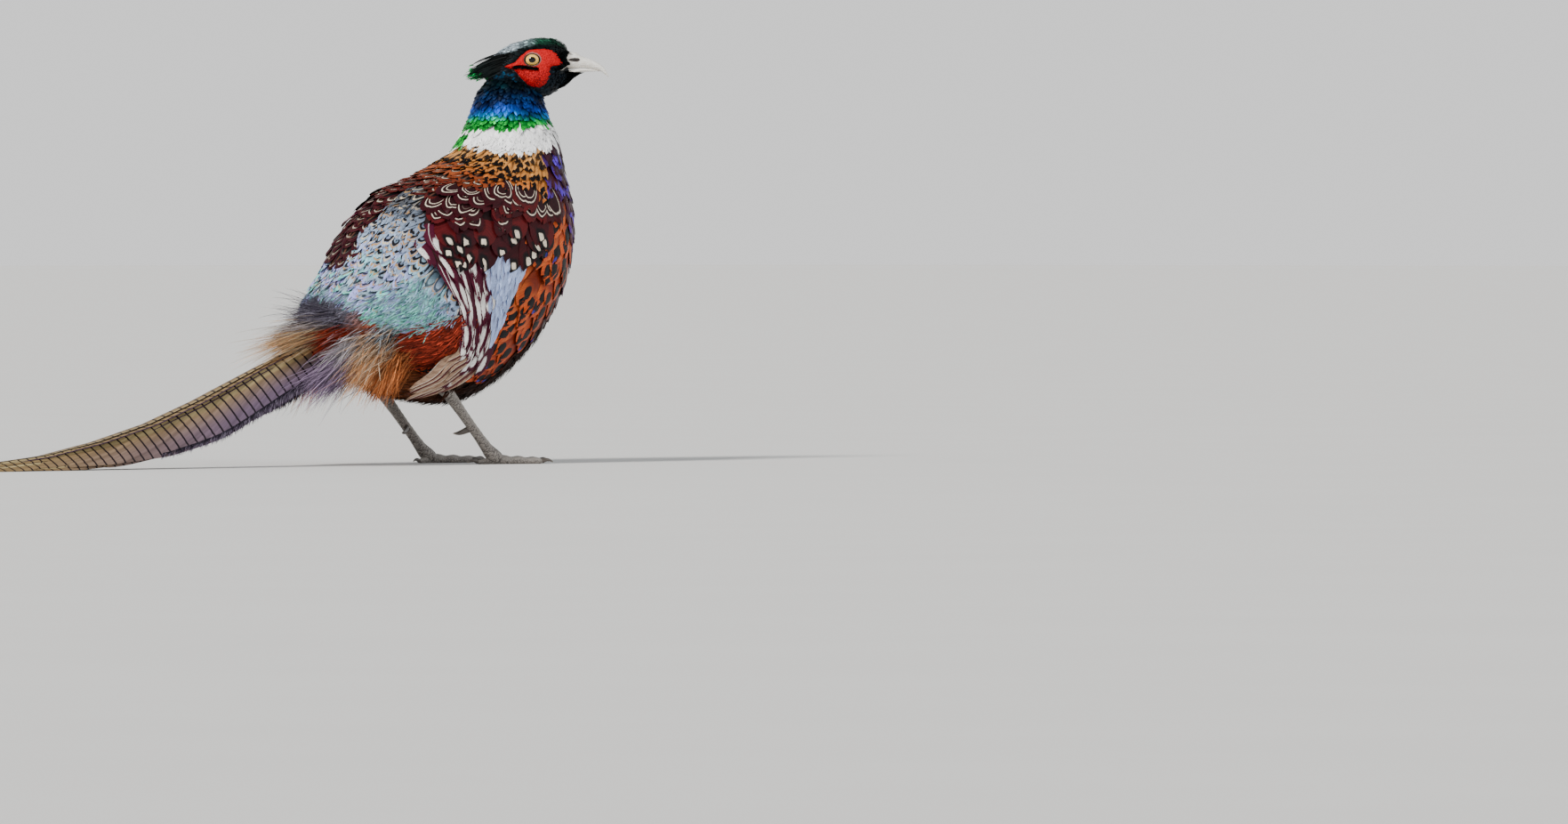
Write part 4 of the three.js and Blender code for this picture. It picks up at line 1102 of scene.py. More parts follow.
def tail_place(pair, sign, u):
    """The shaft of a tail feather, from its root at 0 to its tip at 1."""
    far = TAIL_START + u * pair["long"]
    x, z = (np.interp(far, TAIL_RUN, TAIL_LINE[:, k]) for k in range(2))
    wide = tail_wide(pair, u)
    aside = pair["drop"] * 0.2 + math.tan(math.radians(pair["turn"])) * u * pair["long"] * (1 - 0.8
        * wide)
    low = pair["drop"] * (1 - 0.3 * u) + 1.3 * wide * aside + (0.5 if sign > 0 else 0)
    return stacked(x, sign * (1.6 + aside), np.maximum(z - low, 1.0))


def tail_frame(pair, sign, u):
    """A tail feather's shaft, and the ways outwards across its webs and up from it."""
    along = unit(tail_place(pair, sign, np.minimum(u + 0.02, 1))
                 - tail_place(pair, sign, np.maximum(u - 0.02, 0)))
    up = unit(np.cross([0, 1, 0], along))
    far = u * pair["long"] / TAIL_LONG
    tilt = sign * np.radians(pair["roll"] * (1 - 0.75 * smooth(0.5, 1, far)))[:, None]
    out = unit(up * np.cos(tilt) + np.array([0, 1, 0]) * np.sin(tilt))
    across = unit(np.cross(along, out))
    outward = across * np.sign(np.sum(across * [0, sign, 0], axis=1, keepdims=True))
    return tail_place(pair, sign, u), outward, out


def tail_webs(pair, u):
    """Widths of the inner and outer web, and how steeply the outer one hangs."""
    wide = tail_wide(pair, u)
    width = pair["half"] * (0.6 + 0.4 * smooth(0, 0.3, u))
    width = width * np.clip(1 - (np.maximum(u - 0.25, 0) / 0.75) ** 2, 0.01, 1) ** 0.7
    covered = width * (1 - 0.2 * wide)
    spread = width + (OUTER_WEB - pair["half"]) * wide * smooth(-0.1, 0.06, u)
    outer = covered if pair["drop"] > 0 else spread
    return (f[:, None] for f in (width * (1 - 0.3 * wide), outer, TAIL_ROOF + 0.75 * wide))


def tail_feather(batch, number, pair, sign):
    u = np.linspace(0, 1, 90)
    v = np.concatenate([np.linspace(-1, 1, 15), np.linspace(1, -1, 15)])[None]
    under = (np.arange(30) >= 15)[None]
    middle, outward, out = tail_frame(pair, sign, u)
    inner, outer, steep = tail_webs(pair, u)
    width = np.where(v > 0, outer, inner)
    arch = -np.where(v > 0, steep, TAIL_ROOF) * np.abs(v) ** 1.15 * width + 0.3 * (1 - np.abs(v)) ** 10
    height = arch - under * 0.45 - 0.02
    points = middle[:, None] + outward[:, None] * (v * width)[..., None] + out[:, None] * height[...,
        None]
    points[..., 2] = np.maximum(points[..., 2], 0.25)
    far = (u * pair["long"] / TAIL_LONG)[:, None]
    row = (number * 2 + (sign > 0)) / 10
    root = stacked(0.02 + 0.9 * far, row + 0.05 + 0.03 * v)
    batch.grid(points[None], stacked(far, v, number * 0.13)[None], (1, 1, 1, 1), root[None],
               closed=True)


FRINGE_TONES = np.array([[0.17, 0.13, 0.2, 0], [0.3, 0.25, 0.34, 0], [0.05, 0.035, 0.06, 0]])


def tail_edge(batch, number, pair, sign):
    """Loose barbs that hang from the outer web."""
    draw = np.random.default_rng(400 + number * 2 + (sign > 0))
    n, longest = (1500, 11) if number == 0 else (260, 7)
    spot = draw.uniform(0.0, 0.5, n) ** 1.3
    middle, outward, out = tail_frame(pair, sign, spot)
    _, edge, steep = tail_webs(pair, spot)
    start = middle + outward * edge * 0.9 - out * steep * edge * 0.88
    grow = draw.uniform(4, longest, n)[:, None] * (1.15 - 1.6 * spot[:, None])
    end = start + (outward * 0.4 + np.array([-0.7, 0, -0.85])) * grow
    end[:, 2] = np.maximum(end[:, 2], 0.4)
    spray(batch, start, end, 0.3, FRINGE_TONES[draw.integers(0, 3, n)], 430 + number, rows=3,
          spread=0.5)


def dress_tail():
    batch, fringe = Batch(), Batch()
    for number, pair in enumerate(TAIL_PAIRS):
        for sign in (-1, 1):
            tail_feather(batch, number, pair, sign)
            tail_edge(fringe, number, pair, sign)
    batch.build("tail_feathers", MATERIALS["tail"], ("tail", "tail_end"), "plumage_tail")
    fringe.build("tail_fringe", MATERIALS["hair"], slot="plumage_tail")


# Loose tufts by the tail's root: count, root and its spread, tip and its spread, half width and colour
ROOT_TUFTS = {
    "grey": (560, (-92, 11, 107), (17, 13, 7), (-134, 6, 108), (12, 9, 10), 0.24, (0.15, 0.125, 0.18)),
    "pale": (380, (-95, 11, 106), (14, 12, 7), (-130, 8, 103), (12, 9, 10), 0.22, (0.5, 0.48, 0.58)),
    "silver": (420, (-80, 38, 99), (9, 8, 5), (-101, 36, 84), (9, 7, 7), 0.26, (0.42, 0.5, 0.56)),
    "night": (160, (-80, 38, 97), (9, 8, 5), (-99, 36, 85), (9, 7, 6), 0.34, (0.02, 0.02, 0.035)),
    "barred": (260, (-106, 9, 103), (6, 8, 5), (-156, 5, 92), (11, 5, 8), 0.3, (0.34, 0.29, 0.28)),
    "buff": (200, (-108, 8, 98), (6, 7, 5), (-178, 5, 80), (15, 5, 9), 0.22, (0.75, 0.42, 0.2)),
    "gold": (200, (-110, 8, 96), (7, 7, 6), (-168, 6, 82), (15, 5, 9), 0.22, (0.85, 0.66, 0.4)),
    "rufous": (560, (-97, 16, 97), (8, 9, 4), (-134, 14, 87), (9, 6, 7), 0.34, (0.36, 0.035, 0.012)),
    "fluff": (620, (-100, 25, 88), (9, 7, 8), (-128, 27, 72), (10, 7, 9), 0.24, (0.62, 0.57, 0.6)),
    "purple": (900, (-109, 26, 74), (11, 7, 9), (-142, 24, 52), (15, 7, 9), 0.26, (0.34, 0.25, 0.38)),
    "orange": (700, (-92, 36, 82), (12, 8, 8), (-114, 34, 56), (12, 7, 10), 0.27, (0.8, 0.4, 0.18)),
    "vent": (620, (-76, 39, 78), (12, 8, 8), (-95, 36, 52), (12, 8, 9), 0.28, (0.75, 0.25, 0.08)),
    "cream": (420, (-90, 37, 84), (12, 8, 8), (-115, 35, 62), (12, 7, 11), 0.24, (0.9, 0.72, 0.52)),
    "cinnamon": (420, (-84, 38, 92), (11, 8, 7), (-110, 33, 76), (11, 8, 9), 0.28, (0.62, 0.4, 0.26)),
    "dusky": (160, (-86, 37, 93), (9, 7, 6), (-110, 31, 80), (9, 6, 7), 0.34, (0.05, 0.04, 0.05)),
}


def dress_tail_root():
    """Grey down where the rump ends, wisps over the tail and soft feathers under it."""
    batch = Batch()
    for number, (n, root, around, tip, stray, half, tone) in enumerate(ROOT_TUFTS.values()):
        for sign in SIDES.values():
            draw = np.random.default_rng(500 + number * 2 + sign)
            turned = np.array([1, sign, 1])
            roots = root * turned + draw.normal(size=(n, 3)) * around * 0.6
            aim = tip * turned + (roots - root * turned) * 0.6 + draw.normal(size=(n, 3)) * stray * 0.7
            tips = roots + (aim - roots) * draw.uniform(0.5, 1.08, n)[:, None]
            colour = np.array([*tone, 0]) * np.exp(0.25 * draw.normal(size=(n, 1)))
            spray(batch, roots, tips, half, colour, 540 + number, bow=(0, 0, 1.2), spread=1.2)
    batch.build("tail_coverts", MATERIALS["down"], slot="plumage_tail")


# Head
def head_side(x, z, side):
    """How far aside the head's surface lies at a length and height."""
    fine = np.linspace(0, len(HEAD) - 1, 400)
    rows = spline(HEAD, fine)
    top, bottom, half = (np.interp(x, rows[:, 0], rows[:, k]) for k in (1, 2, 3))
    f = np.clip(np.abs((z - (top + bottom) / 2) / ((top - bottom) / 2)), 0, 0.995)
    return side * half * (1 - f ** HEAD_POWER) ** (1 / HEAD_POWER)


WATTLE = np.array([
    [9.5, 8.4], [14.8, 7.3], [19.2, 3.2], [22.2, -1.9], [21.3, -3.9], [15.5, -4.5], [13.3, -6.5],
    [13.5, -10.8],
    [11, -17.4], [5.2, -21.2], [-2.3, -19], [-8.2, -13.1], [-13.4, -7.1], [-21.5, -4.9], [-12.6, -1.9],
    [-8.2, 3.2],
    [-1.5, 7.4],
], float)


def wattle_reach(angle):
    """How far the bare skin reaches from the eye's middle in each direction."""
    closed = np.concatenate([WATTLE, WATTLE[:1]])
    f = np.linspace(0, len(WATTLE), 600)
    edge = stacked(*(np.interp(f, np.arange(len(closed)), closed[:, k]) for k in range(2)))
    turn, reach = np.arctan2(edge[:, 1], edge[:, 0]), np.hypot(*edge.T)
    order = np.argsort(turn)
    return np.interp(angle, turn[order], reach[order], period=2 * math.pi)


def wattle(name, side):
    angle = np.linspace(-math.pi, math.pi, 181)[:-1][None]
    rho = np.linspace(0, 1, 22)[:, None]
    reach = np.maximum(wattle_reach(angle), 7.6)
    inner = 6.35 - 1.25 * np.sin(angle) ** 2
    r = inner + (reach - inner) * rho
    x, z = r * np.cos(angle), r * np.sin(angle)
    folds = 0.22 * np.sin(x * 1.5 + 1.2 * np.sin(z * 0.9)) * np.sin(z * 1.3 + 0.8 * np.sin(x * 1.1))
    lobe = 1.0 * smooth(-6, -15, z) * smooth(10, 3, np.abs(x - 4))
    swell = (1.45 + lobe + folds) * (1 - rho ** 5) * smooth(-0.15, 0.12, rho) - 0.9 * rho ** 8
    point = stacked(x, head_side(x, z, side) + side * swell, z)
    ring_mesh(f"wattle_{name}_skin", head_frame(point), MATERIALS["bare"], (f"wattle_{name}",),
              "bare_skin",
              vane=stacked(x, z, rho), caps=False)


def eye(name, side):
    turn = np.radians(np.linspace(0, 178, 60))[:, None]
    round_ = np.linspace(0, 2 * math.pi, 65)[:-1][None]
    bulge = EYE_RADIUS + 0.35 * np.exp(-((turn / 0.45) ** 2))
    across = bulge * np.sin(turn)
    point = stacked(across * np.cos(round_), side * (EYE_SIDE - 0.3 + bulge * np.cos(turn)),
                    EYE_FLAT * across * np.sin(round_))
    vane = stacked(turn / math.pi, np.cos(round_), np.sin(round_))
    ring_mesh(f"eyeball_{name}", head_frame(point), MATERIALS["eye"], (f"eye_{name}",), "eye",
              vane=vane)
    tube = np.linspace(0, 2 * math.pi, 13)[:-1][None]
    turn = np.linspace(0, 2 * math.pi, 97)[:, None]
    wide, high = LID_WIDE, LID_HIGH + 0.2 * np.sin(turn)
    crease = 0.72 + 0.1 * np.sin(turn * 26) + 0.15 * np.sin(turn)
    x = (wide + crease * np.cos(tube)) * np.cos(turn)
    z = (high + crease * np.cos(tube)) * np.sin(turn)
    y = side * (EYE_SIDE + 4.55 + 0.85 * np.sin(tube) + 0.25 * np.cos(2 * turn))
    vane = stacked(turn / 7, np.cos(tube), np.sin(tube))
    ring_mesh(f"lid_{name}", head_frame(stacked(x, y, z)), MATERIALS["lid"], (), "bare_skin", vane=vane,
              caps=False)


UPPER_BILL = np.array([
    [20.2, -7.2, -7.9, 10.6], [22.3, -5.4, -7.8, 10.2], [24, 1.6, -7.6, 9.2], [25.5, 5.2, -7.2, 8.4],
    [27.4, 6.4, -6.6, 7.5], [31.7, 5.6, -6, 6.2], [34, 4, -5.8, 5.6], [36.6, 2.5, -5.7, 5.1],
    [41.4, 1.2, -6, 4.3],
    [45.7, -0.8, -6.9, 3.5], [50, -3.5, -8.5, 2.6], [53.2, -7, -10.8, 1.6], [55.3, -11.2, -12.4, 0.5],
])
LOWER_BILL = np.array([
    [21, -7.6, -8.2, 8], [26, -7.2, -8.9, 6.6], [29.6, -6.8, -9.6, 6], [33, -6.3, -9.1, 5.3],
    [37.6, -6, -8.7, 4.3], [43, -6.5, -8.4, 3.3], [46.5, -7.2, -8.3, 2.3], [48.5, -7.8, -8.2, 0.8],
])


def bill(name, table):
    s = np.linspace(0, len(table) - 1, 60)
    x, top, bottom, half = np.moveaxis(spline(table, s)[:, None], -1, 0)
    y, z, _ = ellipse(half, top, bottom, np.linspace(0, 360, 49)[:-1], HEAD_POWER)
    if name == "upper":
        near = np.exp(-(((x - 31) / 2.6) ** 2 + ((z - 0.1) / 0.7) ** 2))
        flap = np.exp(-(((x - 30) / 3.2) ** 2 + ((z - 1.8) / 1.3) ** 2))
        y = y - np.sign(y) * (1.3 * near - 0.45 * flap)
    vane = stacked((x - 27) / 28, y / 6, z / 8)
    ring_mesh(f"bill_{name}_horn", head_frame(stacked(x, y, z)), MATERIALS["horn"], (f"bill_{name}",),
              "bill_horn", vane=vane)


def head_tone(s, phi, seed=0):
    """Silvery green crown, black border, and black cheeks and throat, with painted blue-green glints on
    some feathers low on the sides behind the eye.
    """
    draw = np.random.default_rng(seed)
    p = np.abs(phi)
    x = spline(HEAD, s)[..., 0]
    crown = blend([[-32, 0.14, 0.18, 0.21, 0], [-25, 0.5, 0.6, 0.68, 0], [-8, 0.5, 0.6, 0.66, 0],
                   [2, 0.22, 0.33, 0.33, 0], [9, 0.012, 0.09, 0.05, 0], [27, 0.005, 0.03, 0.016, 0]], x)
    side = blend([[40, 0.004, 0.008, 0.007, 0], [85, 0.004, 0.008, 0.013, 0],
                  [180, 0.005, 0.014, 0.024, 0]], p)
    # Painted highlight: a blue-green glint on some black feathers low on the head's rear sides
    glint = (draw.random(np.shape(p)) < 0.3) & (p > 95) & (x < -6)
    side[glint] = [0.004, 0.05, 0.11, 0]
    edge = np.interp(x, [-30, -25, -15, 0, 27], [78, 64, 50, 45, 40])
    border = smooth(-7, 1, p - edge)[..., None]
    tone = crown * (1 - border) + side * border
    tone[..., :3] *= np.exp(0.4 * draw.normal(size=(*np.shape(p), 1)))
    return tone


# Lengths and heights of the throat's outline, of the jaw above it and of the feathers' edge on the bill
THROAT = [[12, -23.4], [17.7, -21.4], [22, -19.6], [26.3, -17], [29.5, -13], [32.8, -10], [38.7, -8.8]]
JAW = [[12, -12], [20, -8.4], [27, -7.9], [29, -9], [33, -9.2]]
JAW_AHEAD = [[12, -12], [20, -8.4], [28, -7.9], [30, -9.6], [33, -9.2], [38, -8.8]]
JAW_HALF = [[12, 11], [22, 9.6], [31, 5.6]]
BILL_EDGE = np.array([
    [27.8, 6.4], [26, 5.2], [24.3, 3.2], [25.3, 1], [26.3, -0.4], [27.9, -2], [27.2, -3.2],
    [25.6, -4.2], [24.2, -5.1],
    [22.4, -6.2], [20.2, -7.6],
])
BILL_BASE = [[20, -6], [22.3, -5], [24.2, 1], [27, 4]]
# Ear tufts: height of the roots, how far they reach back, down and out, and count
EAR_TUFTS = [(2, 27, 11, 1.5, 80), (-1, 28, 11, 3, 90), (-4.5, 25, 8.5, 2.5, 80), (-8, 17, 5, 1, 60)]
EAR_BLACK = (0.006, 0.012, 0.012, 0)
EAR_GREEN = (0.005, 0.5, 0.1, 0)
FACE_BLACK = (0.004, 0.004, 0.006, 0)
THROAT_BLACK = (0.004, 0.008, 0.009, 0)
BASE_BLACK = (0.004, 0.01, 0.011, 0)


def clear_of_face(s, phi):
    """Places of the head outside the bare skin and the bill."""
    x, _, z = np.moveaxis(head_shape(s, phi), -1, 0)
    p = np.abs(phi)
    inside = (np.hypot(x, z) < wattle_reach(np.arctan2(z, x)) - 0.2) & (p > 35) & (p < 165)
    bill_base = (x > 22) & (z > -9.4) & (z < line(BILL_BASE, x))
    return ~inside & ~bill_base & (x < 26.6)


def head_spray(batch, roots, tips, half, tone, seed, **more):
    spray(batch, head_frame(roots), head_frame(tips), half, tone, seed, **more)


def ear_tufts(batch, draw, side):
    """Black tufts behind the face, some with green tips."""
    for z, back, down, out, n in EAR_TUFTS:
        roots = stacked(-17 + draw.normal(0, 2.2, n), side * (13.6 + draw.normal(0, 0.7, n)),
                        z + draw.normal(0, 1.6, n))
        f = draw.uniform(0.6, 1.02, n)[:, None]
        tips = roots + np.array([-back, side * (out - 4.5), -down]) * f
        head_spray(batch, roots, tips, 0.55, EAR_BLACK, 620 + n + side, bow=(0, 0, 1.2), spread=0.5,
                   flat=(0.7, 0.7, 0.2))
        bright = f[:, 0] > 0.9
        head_spray(batch, (roots + (tips - roots) * 0.88)[bright], tips[bright], 0.65, EAR_GREEN,
                   640 + n + side,
                   bow=(0, 0, 0.3), spread=0.4, flat=(0.7, 0.7, 0.2))


def eye_line(batch, draw, side):
    """The dark line of short feathers under the eye."""
    n = 450
    f = draw.random(n)
    x, z = -13 + 18 * f, -5.7 + 0.5 * np.sin(f * 5) + draw.normal(0, 0.6, n)
    roots = stacked(x, head_side(x, z, side) + side * 1.9, z)
    tips = roots + stacked(-2.6, side * 0.5, draw.normal(-0.3, 0.3, n))
    head_spray(batch, roots, tips, 0.4, FACE_BLACK, 660 + side, rows=3, spread=0.1)


def throat(batch, draw, side):
    """Feathers that fill the throat's outline under the jaw."""
    n = 1500
    x = draw.uniform(12, 31, n)
    f = draw.random(n) ** 1.3
    low, high = line(THROAT, x), line(JAW, x)
    y = line(JAW_HALF, x) * np.sqrt(draw.random(n)) * (0.45 + 0.55 * f)
    roots = stacked(x, side * y, low + 0.6 + (high - low) * f)
    ahead = x + draw.uniform(3, 6.5, n) * (1.1 - 0.5 * f)
    low, high = line(THROAT, ahead), line(JAW_AHEAD, ahead)
    tips = stacked(ahead, side * y * 0.75, low + (high - low) * f)
    head_spray(batch, roots, tips, 0.45, THROAT_BLACK, 670 + side, rows=3, spread=0.15)


def bill_edge(batch, draw, side):
    """Short feathers that grow over the base of the bill."""
    n = 900
    f = draw.random(n) * (len(BILL_EDGE) - 1)
    x, z = (np.interp(f, np.arange(len(BILL_EDGE)), BILL_EDGE[:, k]) for k in range(2))
    back = draw.uniform(0.2, 3.4, n)
    behind = x - back - 2.0
    roots = stacked(behind, head_side(behind, z, side) + side * 0.3, z + 0.2 * draw.normal(size=n))
    ahead = x - back + 0.7 * draw.random(n)
    tips = stacked(ahead, np.where(ahead < 27, head_side(ahead, z, side), side * 7.2) + side * 0.9,
                   z - 0.3)
    head_spray(batch, roots, tips, 0.42, BASE_BLACK, 680 + side, rows=3, spread=0.12)


def dress_head():
    batch = Batch()
    s, phi = lattice(head, TRUNK_STEPS, (0.3, 9.9), (-180, 180), (1.7, 1.7), clear_of_face, 600)
    full = smooth(2, 9, np.abs(spline(HEAD, s)[:, 0] - 24))
    lay(batch, head, TRUNK_WINDOW, s, phi, 2.6 + 2.6 * full, 0.8 + 0.5 * full, head_tone(s, phi, 602),
        601,
        rise=(-0.9, 0.25), rows=3, columns=2, camber=0.15, ragged=0.1, lift=0.12)
    batch.build("head_plumage", MATERIALS["head"], slot="plumage_head")
    tufts = Batch()
    draw = np.random.default_rng(610)
    for side in SIDES.values():
        for grow in (ear_tufts, eye_line, throat, bill_edge):
            grow(tufts, draw, side)
    tufts.build("ear_tufts", MATERIALS["hair"], slot="plumage_head")


# Legs
LEG_SIDE = 35
ANKLE = np.array([-26, 57], float)
FOOT_JOINT = np.array([20, 9], float)
THIGH = np.array([[6, 84, 7], [-4, 76, 9.5], [-14, 67, 9], [-22, 60, 7.2], [-27, 55.5, 5.6]], float)
TARSUS = [5.0, 4.2, 3.6, 3.4, 3.6, 4.4]
SCUTES = 15
TOES = {"inner": (24, 33, 3.1), "middle": (2, 46, 3.4), "outer": (-26, 35, 3.1), "hind": (164, 15, 2.6)}
CLAW = 9
SPUR = np.array([[3, -2, 26], [-3.5, -5.5, 23], [-8.5, -8, 22.5]], float)
HEEL = np.array([[-1.5, 10.8], [3, 7.2], [8, 4.6], [12, 3.4]], float)
PLATE = 3.1
FLOOR_GAP = 0.02
AROUND_LEG = 6.3
LEVEL = np.array([0.0, 1.0, 0.0])


def tube(middles, radii, across, columns=24):
    """Rings round a path; across is the level direction that every ring shares."""
    along = unit(np.gradient(middles, axis=0))
    up = unit(np.cross(along, across))
    angle = np.linspace(0, 2 * math.pi, columns + 1)[:-1]
    radii = np.asarray(radii, float)
    radii = radii[:, None] if radii.ndim == 1 else radii
    return (middles[:, None] + across * (radii * np.cos(angle))[..., None]
            + up[:, None] * (radii * np.sin(angle))[..., None]), angle


def claw(name, middles, radii, across, replaces=()):
    """A horn point round a path: a claw or the spur."""
    rings, angle = tube(middles, radii, across, 16)
    rings[..., 2] = np.maximum(rings[..., 2], 0.05)
    vane = stacked(np.linspace(0, 1, len(middles))[:, None], angle / AROUND_LEG, 0)
    ring_mesh(name, rings, MATERIALS["claw"], replaces, "claw_horn", vane=vane)


def scute(f, rise, fall):
    """The height of overlapping plates, from 0 at each one's start up to its edge."""
    step = f % 1
    return smooth(0, rise, step) * (1 - fall * step)


def tarsus(name, sign):
    f = np.linspace(0, 1, 150)
    at = ANKLE + (FOOT_JOINT - ANKLE) * f[:, None]
    middles = stacked(at[:, 0], sign * LEG_SIDE, at[:, 1])
    core = np.interp(f, np.linspace(0, 1, len(TARSUS)), TARSUS) + 1.6 * np.exp(-((f / 0.07) ** 2))
    front = smooth(-0.1, 0.5, np.sin(tube(middles, core, LEVEL)[1]))
    plate = 0.5 * scute(f * SCUTES, 0.15, 0.55)
    rings, angle = tube(middles, core[:, None] + plate[:, None] * front - 0.1, LEVEL)
    vane = stacked(f[:, None], angle / AROUND_LEG, front)
    ring_mesh(f"tarsus_{name}_scutes", rings, MATERIALS["scales"], (f"tarsus_{name}",), "leg_scales",
              vane=vane)
    f = np.linspace(0, 1, 24)
    path = spline(SPUR * [1, sign, 1] + [0, sign * LEG_SIDE, 0], f * 2)
    claw(f"spur_{name}", path, 2.5 * (1 - f) ** 0.7 + 0.15, unit(np.array([0.5, sign, 0.3])))


def toe(root, turn, long, thick, joints):
    """Rings of a toe with its plates, and their coordinates."""
    f = np.linspace(0, 1, 40 * joints // 2 + 30)
    radius = thick * (1 - 0.35 * f) * (1 + 0.09 * np.cos(f * joints * 2 * math.pi + math.pi))
    radius = radius * np.where(f > 0.96, np.sqrt(np.clip(1 - ((f - 0.96) / 0.045) ** 2, 0.15, 1)), 1)
    ahead, across = turn
    middles = root + ahead * (f * long)[:, None]
    middles[:, 2] = radius * 0.84
    height = np.sin(tube(middles, radius, across, 20)[1])
    top = smooth(0.2, 0.8, height)
    lumps = 0.22 * np.sin(f * long * 2.1)[:, None] * smooth(-0.2, -0.9, height)
    plates = (0.32 * scute(f * long / PLATE, 0.2, 0.5))[:, None] * top
    rings, angle = tube(middles, radius[:, None] + plates + lumps, across, 20)
    return rings, stacked(f[:, None] * long / 60, angle / AROUND_LEG, top)


def leg(name, sign):
    tarsus(name, sign)
    foot = []
    root = np.array([FOOT_JOINT[0] + 7, sign * LEG_SIDE, 0])
    for which, (degrees, long, thick) in TOES.items():
        a = math.radians(degrees) * sign
        turn = np.array([math.cos(a), -math.sin(a), 0]), np.array([math.sin(a), math.cos(a), 0])
        foot.append(toe(root, turn, long, thick, 1 if which == "hind" else 3))
        f = np.linspace(0, 1, 26)
        size = thick * 0.56
        middles = root + turn[0] * (long + 0.1 + f * (CLAW - 0.4))[:, None]
        middles[:, 2] = size + 0.2 + 1.6 * np.sin(f * 2.6) * (1 - 0.2 * f) - (size - 0.35) * f ** 2
        node = f"claw_{name}_{which}"
        claw(f"{node}_horn", middles, size * (1 - f) ** 0.65 + 0.12, turn[1], (node,))
    f = np.linspace(0, 1, 30)
    path = spline(HEEL, f * 3)
    middles = stacked(FOOT_JOINT[0] + path[:, 0], sign * LEG_SIDE, path[:, 1])
    rings, angle = tube(middles, 4.5 + 0.8 * np.sin(f * math.pi) - 1.6 * f ** 3, LEVEL, 20)
    foot.append((rings, stacked(f[:, None] * 0.2, angle / AROUND_LEG, 0)))
    batch = Batch()
    for rings, vane in foot:
        rings[..., 2] = np.maximum(rings[..., 2], FLOOR_GAP)
        rings, vane = capped(rings, vane)
        batch.grid(rings[None], vane[None], (1, 1, 1, 1), vane[None][..., :2], closed=True)
    finish_mesh(batch.build(f"foot_{name}_scutes", MATERIALS["scales"], (f"foot_{name}",),
                            "leg_scales"))


def thigh_rings(sign):
    f = np.linspace(0, 1, 30)
    rows = spline(THIGH, f * (len(THIGH) - 1))
    middles = stacked(rows[:, 0], sign * LEG_SIDE, rows[:, 1])
    return tube(middles, rows[:, 2] - 1.5, LEVEL)[0]


def dress_thighs():
    batch = Batch()
    draw = np.random.default_rng(700)
    for sign in SIDES.values():
        rings = thigh_rings(sign)
        n = 420
        row = draw.integers(2, 29, n)
        roots = rings[row, draw.integers(0, 24, n)]
        out = unit(roots - rings[row].mean(1))
        tips = roots + np.array([-7.5, 0, -7.0]) * draw.uniform(0.6, 1.2, n)[:, None] + out * 1.6
        spray(batch, roots, tips, 0.7, (0.07, 0.026, 0.014, 0), 710 + sign, rows=3, spread=0.6)
    batch.build("thigh_plumage", MATERIALS["hair"], slot="plumage_leg")


def grid_places(first, last, rows, columns):
    """Both coordinates of each point of a grid that goes right round."""
    a, phi = np.linspace(first, last, rows)[:, None], np.linspace(-180, 180, columns + 1)[:-1]
    return (f.ravel() for f in np.broadcast_arrays(a, phi))


def skin():
    """One skin under the coat of the trunk, neck, head and thighs."""
    batch = Batch()
    t, phi = grid_places(0.0, BODY_END - 0.1, 170, 108)
    depth = TRUNK_COAT + (NECK_COAT - TRUNK_COAT) * smooth(5.5, 6.8, t)
    points = body_plain(t, phi) + (body(t, phi, -depth) - body(t, phi, np.zeros_like(t)))
    tone = np.zeros((len(t), 4))
    kinds = trunk_kind(t, phi)
    for kind in set(kinds):
        chosen = kinds == kind
        tone[chosen] = trunk_tone(kind, t[chosen], phi[chosen])
    grids = [(points.reshape(170, 108, 3), tone.reshape(170, 108, 4))]
    s, phi = grid_places(0.05, 9.9, 90, 96)
    points = head(s, phi, np.full_like(s, -HEAD_COAT))
    grids.append((points.reshape(90, 96, 3), head_tone(s, phi).reshape(90, 96, 4)))
    for sign in SIDES.values():
        rings = thigh_rings(sign)
        grids.append((rings, np.broadcast_to(np.array([0.06, 0.024, 0.014, 0]), (*rings.shape[:2], 4))))
    for number, (points, tone) in enumerate(grids):
        points, tone = capped(points, tone)
        f, g = np.meshgrid(*(np.linspace(0, 1, count) for count in points.shape[:2]), indexing="ij")
        spot = MAP_EDGE + 0.46 * stacked(g, f) + 0.5 * np.array([number % 2, number // 2])
        batch.grid(points[None], stacked(f, g, 0)[None], tone[None], spot[None], closed=True)
    finish_mesh(batch.build("skin", MATERIALS["skin"],
                            ("torso", "neck", "head", "thigh_right", "thigh_left"), "plumage_body"))


skin()
dress_trunk()
dress_loose()
for wing_side in SIDES:
    dress_wing(wing_side)
dress_tail()
dress_tail_root()
dress_head()
for side_name, side_sign in SIDES.items():
    wattle(side_name, side_sign)
    eye(side_name, side_sign)
    leg(side_name, side_sign)
bill("upper", UPPER_BILL)
bill("lower", LOWER_BILL)
dress_thighs()


# Stage, light and camera
HORIZON = (1.03, 1.03, 1.03)
ZENITH = (0.3, 0.32, 0.34)


def floor_paint(start):
    grain = start.noise(start.spot(), 6.0, 4.0)
    return {"Base Color": grain.mix(rgb(0.7, 0.69, 0.67), rgb(0.74, 0.73, 0.71)),
            "Roughness": grain * 0.1 + 0.75}


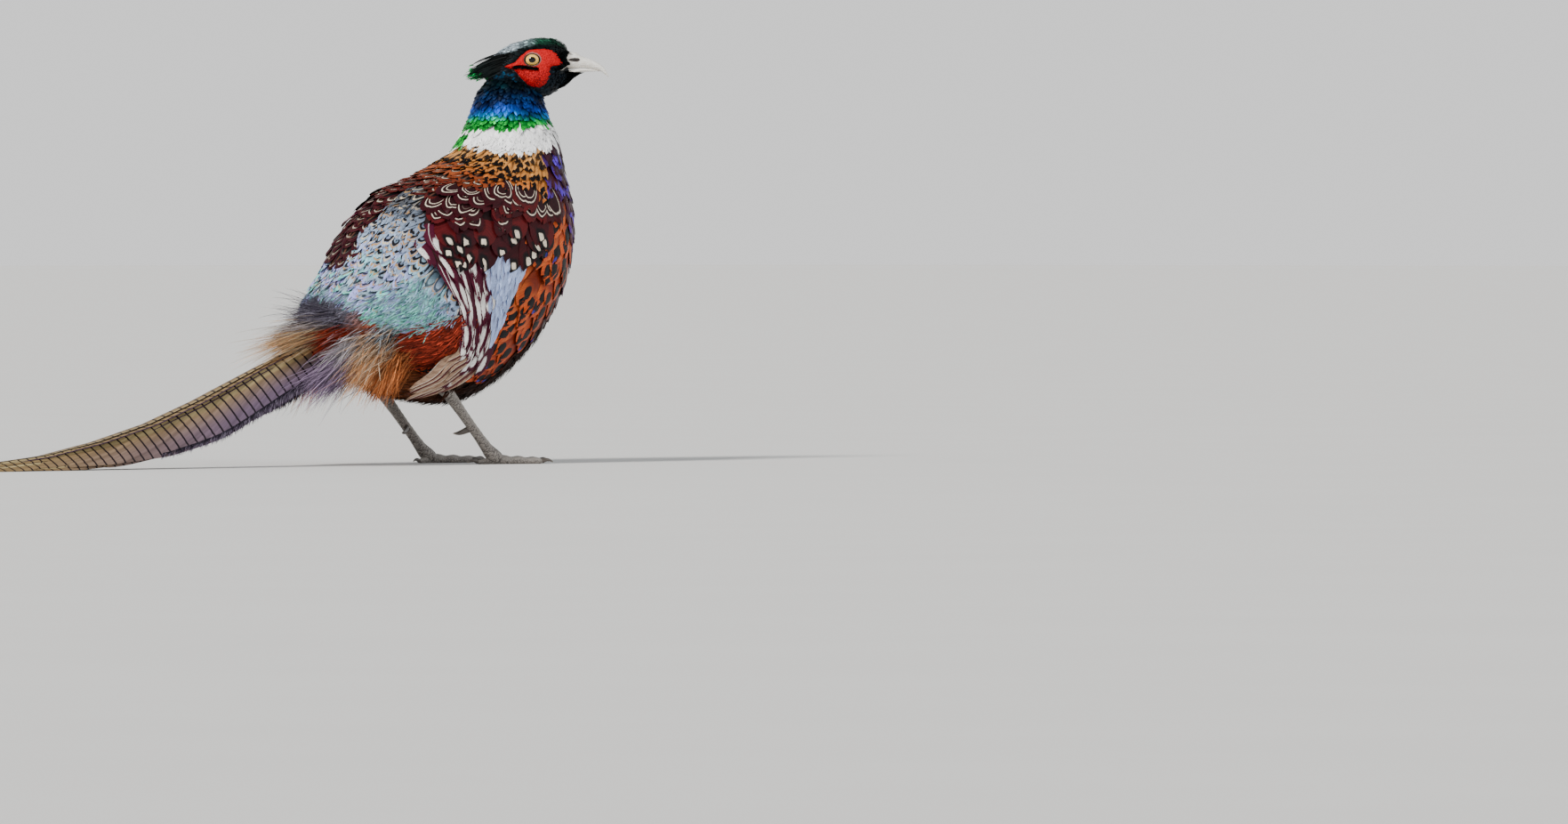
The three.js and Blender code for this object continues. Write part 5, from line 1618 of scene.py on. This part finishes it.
def stage():
    reach = 60
    mesh = bpy.data.meshes.new("floor")
    mesh.from_pydata([(-reach, -reach, 0), (reach, -reach, 0), (reach, reach, 0), (-reach, reach, 0)],
                     [], [(0, 1, 2, 3)])
    floor = bpy.data.objects.new("floor", mesh)
    mesh.materials.append(surface_of("floor", floor_paint))
    bpy.context.scene.collection.objects.link(floor)
    world = bpy.data.worlds.new("studio")
    bpy.context.scene.world = world
    world.use_nodes = True
    start = Tint(world.node_tree)
    height = start.node("ShaderNodeTexCoord").parts()[2]
    sky = height.step(0.0, 0.9).mix(rgb(*HORIZON), rgb(*ZENITH))
    world.node_tree.links.new(sky.socket, world.node_tree.nodes["Background"].inputs["Color"])


def sun(name, azimuth, elevation, spread, power, colour):
    """Soft light from far off. Azimuth 0 shines along +Y."""
    turn, rise = math.radians(azimuth), math.radians(elevation)
    ahead = Vector((-math.sin(turn) * math.cos(rise), math.cos(turn) * math.cos(rise), -math.sin(rise)))
    data = bpy.data.lights.new(name, "SUN")
    data.angle, data.energy, data.color = math.radians(spread), power, colour
    made = bpy.data.objects.new(name, data)
    made.rotation_mode = "QUATERNION"
    made.rotation_quaternion = ahead.to_track_quat("-Z", "Y")
    made.location = -ahead * 3
    bpy.context.scene.collection.objects.link(made)


# The camera looks along the bird's right rear quarter; the picture's middle falls at this place of the bird
CAMERA_TURN = math.radians(45)
CAMERA_FAR = 9.0
CAMERA_HIGH = 0.16
FRAME_MIDDLE = (252.6, 37.7)
PHOTO_WIDTH = 1763
PIXELS_PER_MM = 1.55
SENSOR = 36.0


def camera():
    ahead = Vector((math.cos(CAMERA_TURN), math.sin(CAMERA_TURN), 0))
    aside = Vector((math.sin(CAMERA_TURN), -math.cos(CAMERA_TURN), 0))
    level, height = FRAME_MIDDLE
    target = Vector(metres(np.array([*(aside * level)[:2], height])))
    place = target - ahead * CAMERA_FAR
    place.z = CAMERA_HIGH
    data = bpy.data.cameras.new("camera")
    data.sensor_width = SENSOR
    data.lens = SENSOR * CAMERA_FAR / MM * PIXELS_PER_MM / PHOTO_WIDTH
    data.clip_end = 200
    made = bpy.data.objects.new("camera", data)
    made.location = place
    made.rotation_mode = "QUATERNION"
    made.rotation_quaternion = (target - place).to_track_quat("-Z", "Y")
    bpy.context.scene.collection.objects.link(made)
    bpy.context.scene.camera = made


stage()
sun("key", -82, 40, 12, 4.2, (1, 0.98, 0.95))
sun("fill", 30, 30, 30, 0.6, (0.93, 0.96, 1))
camera()
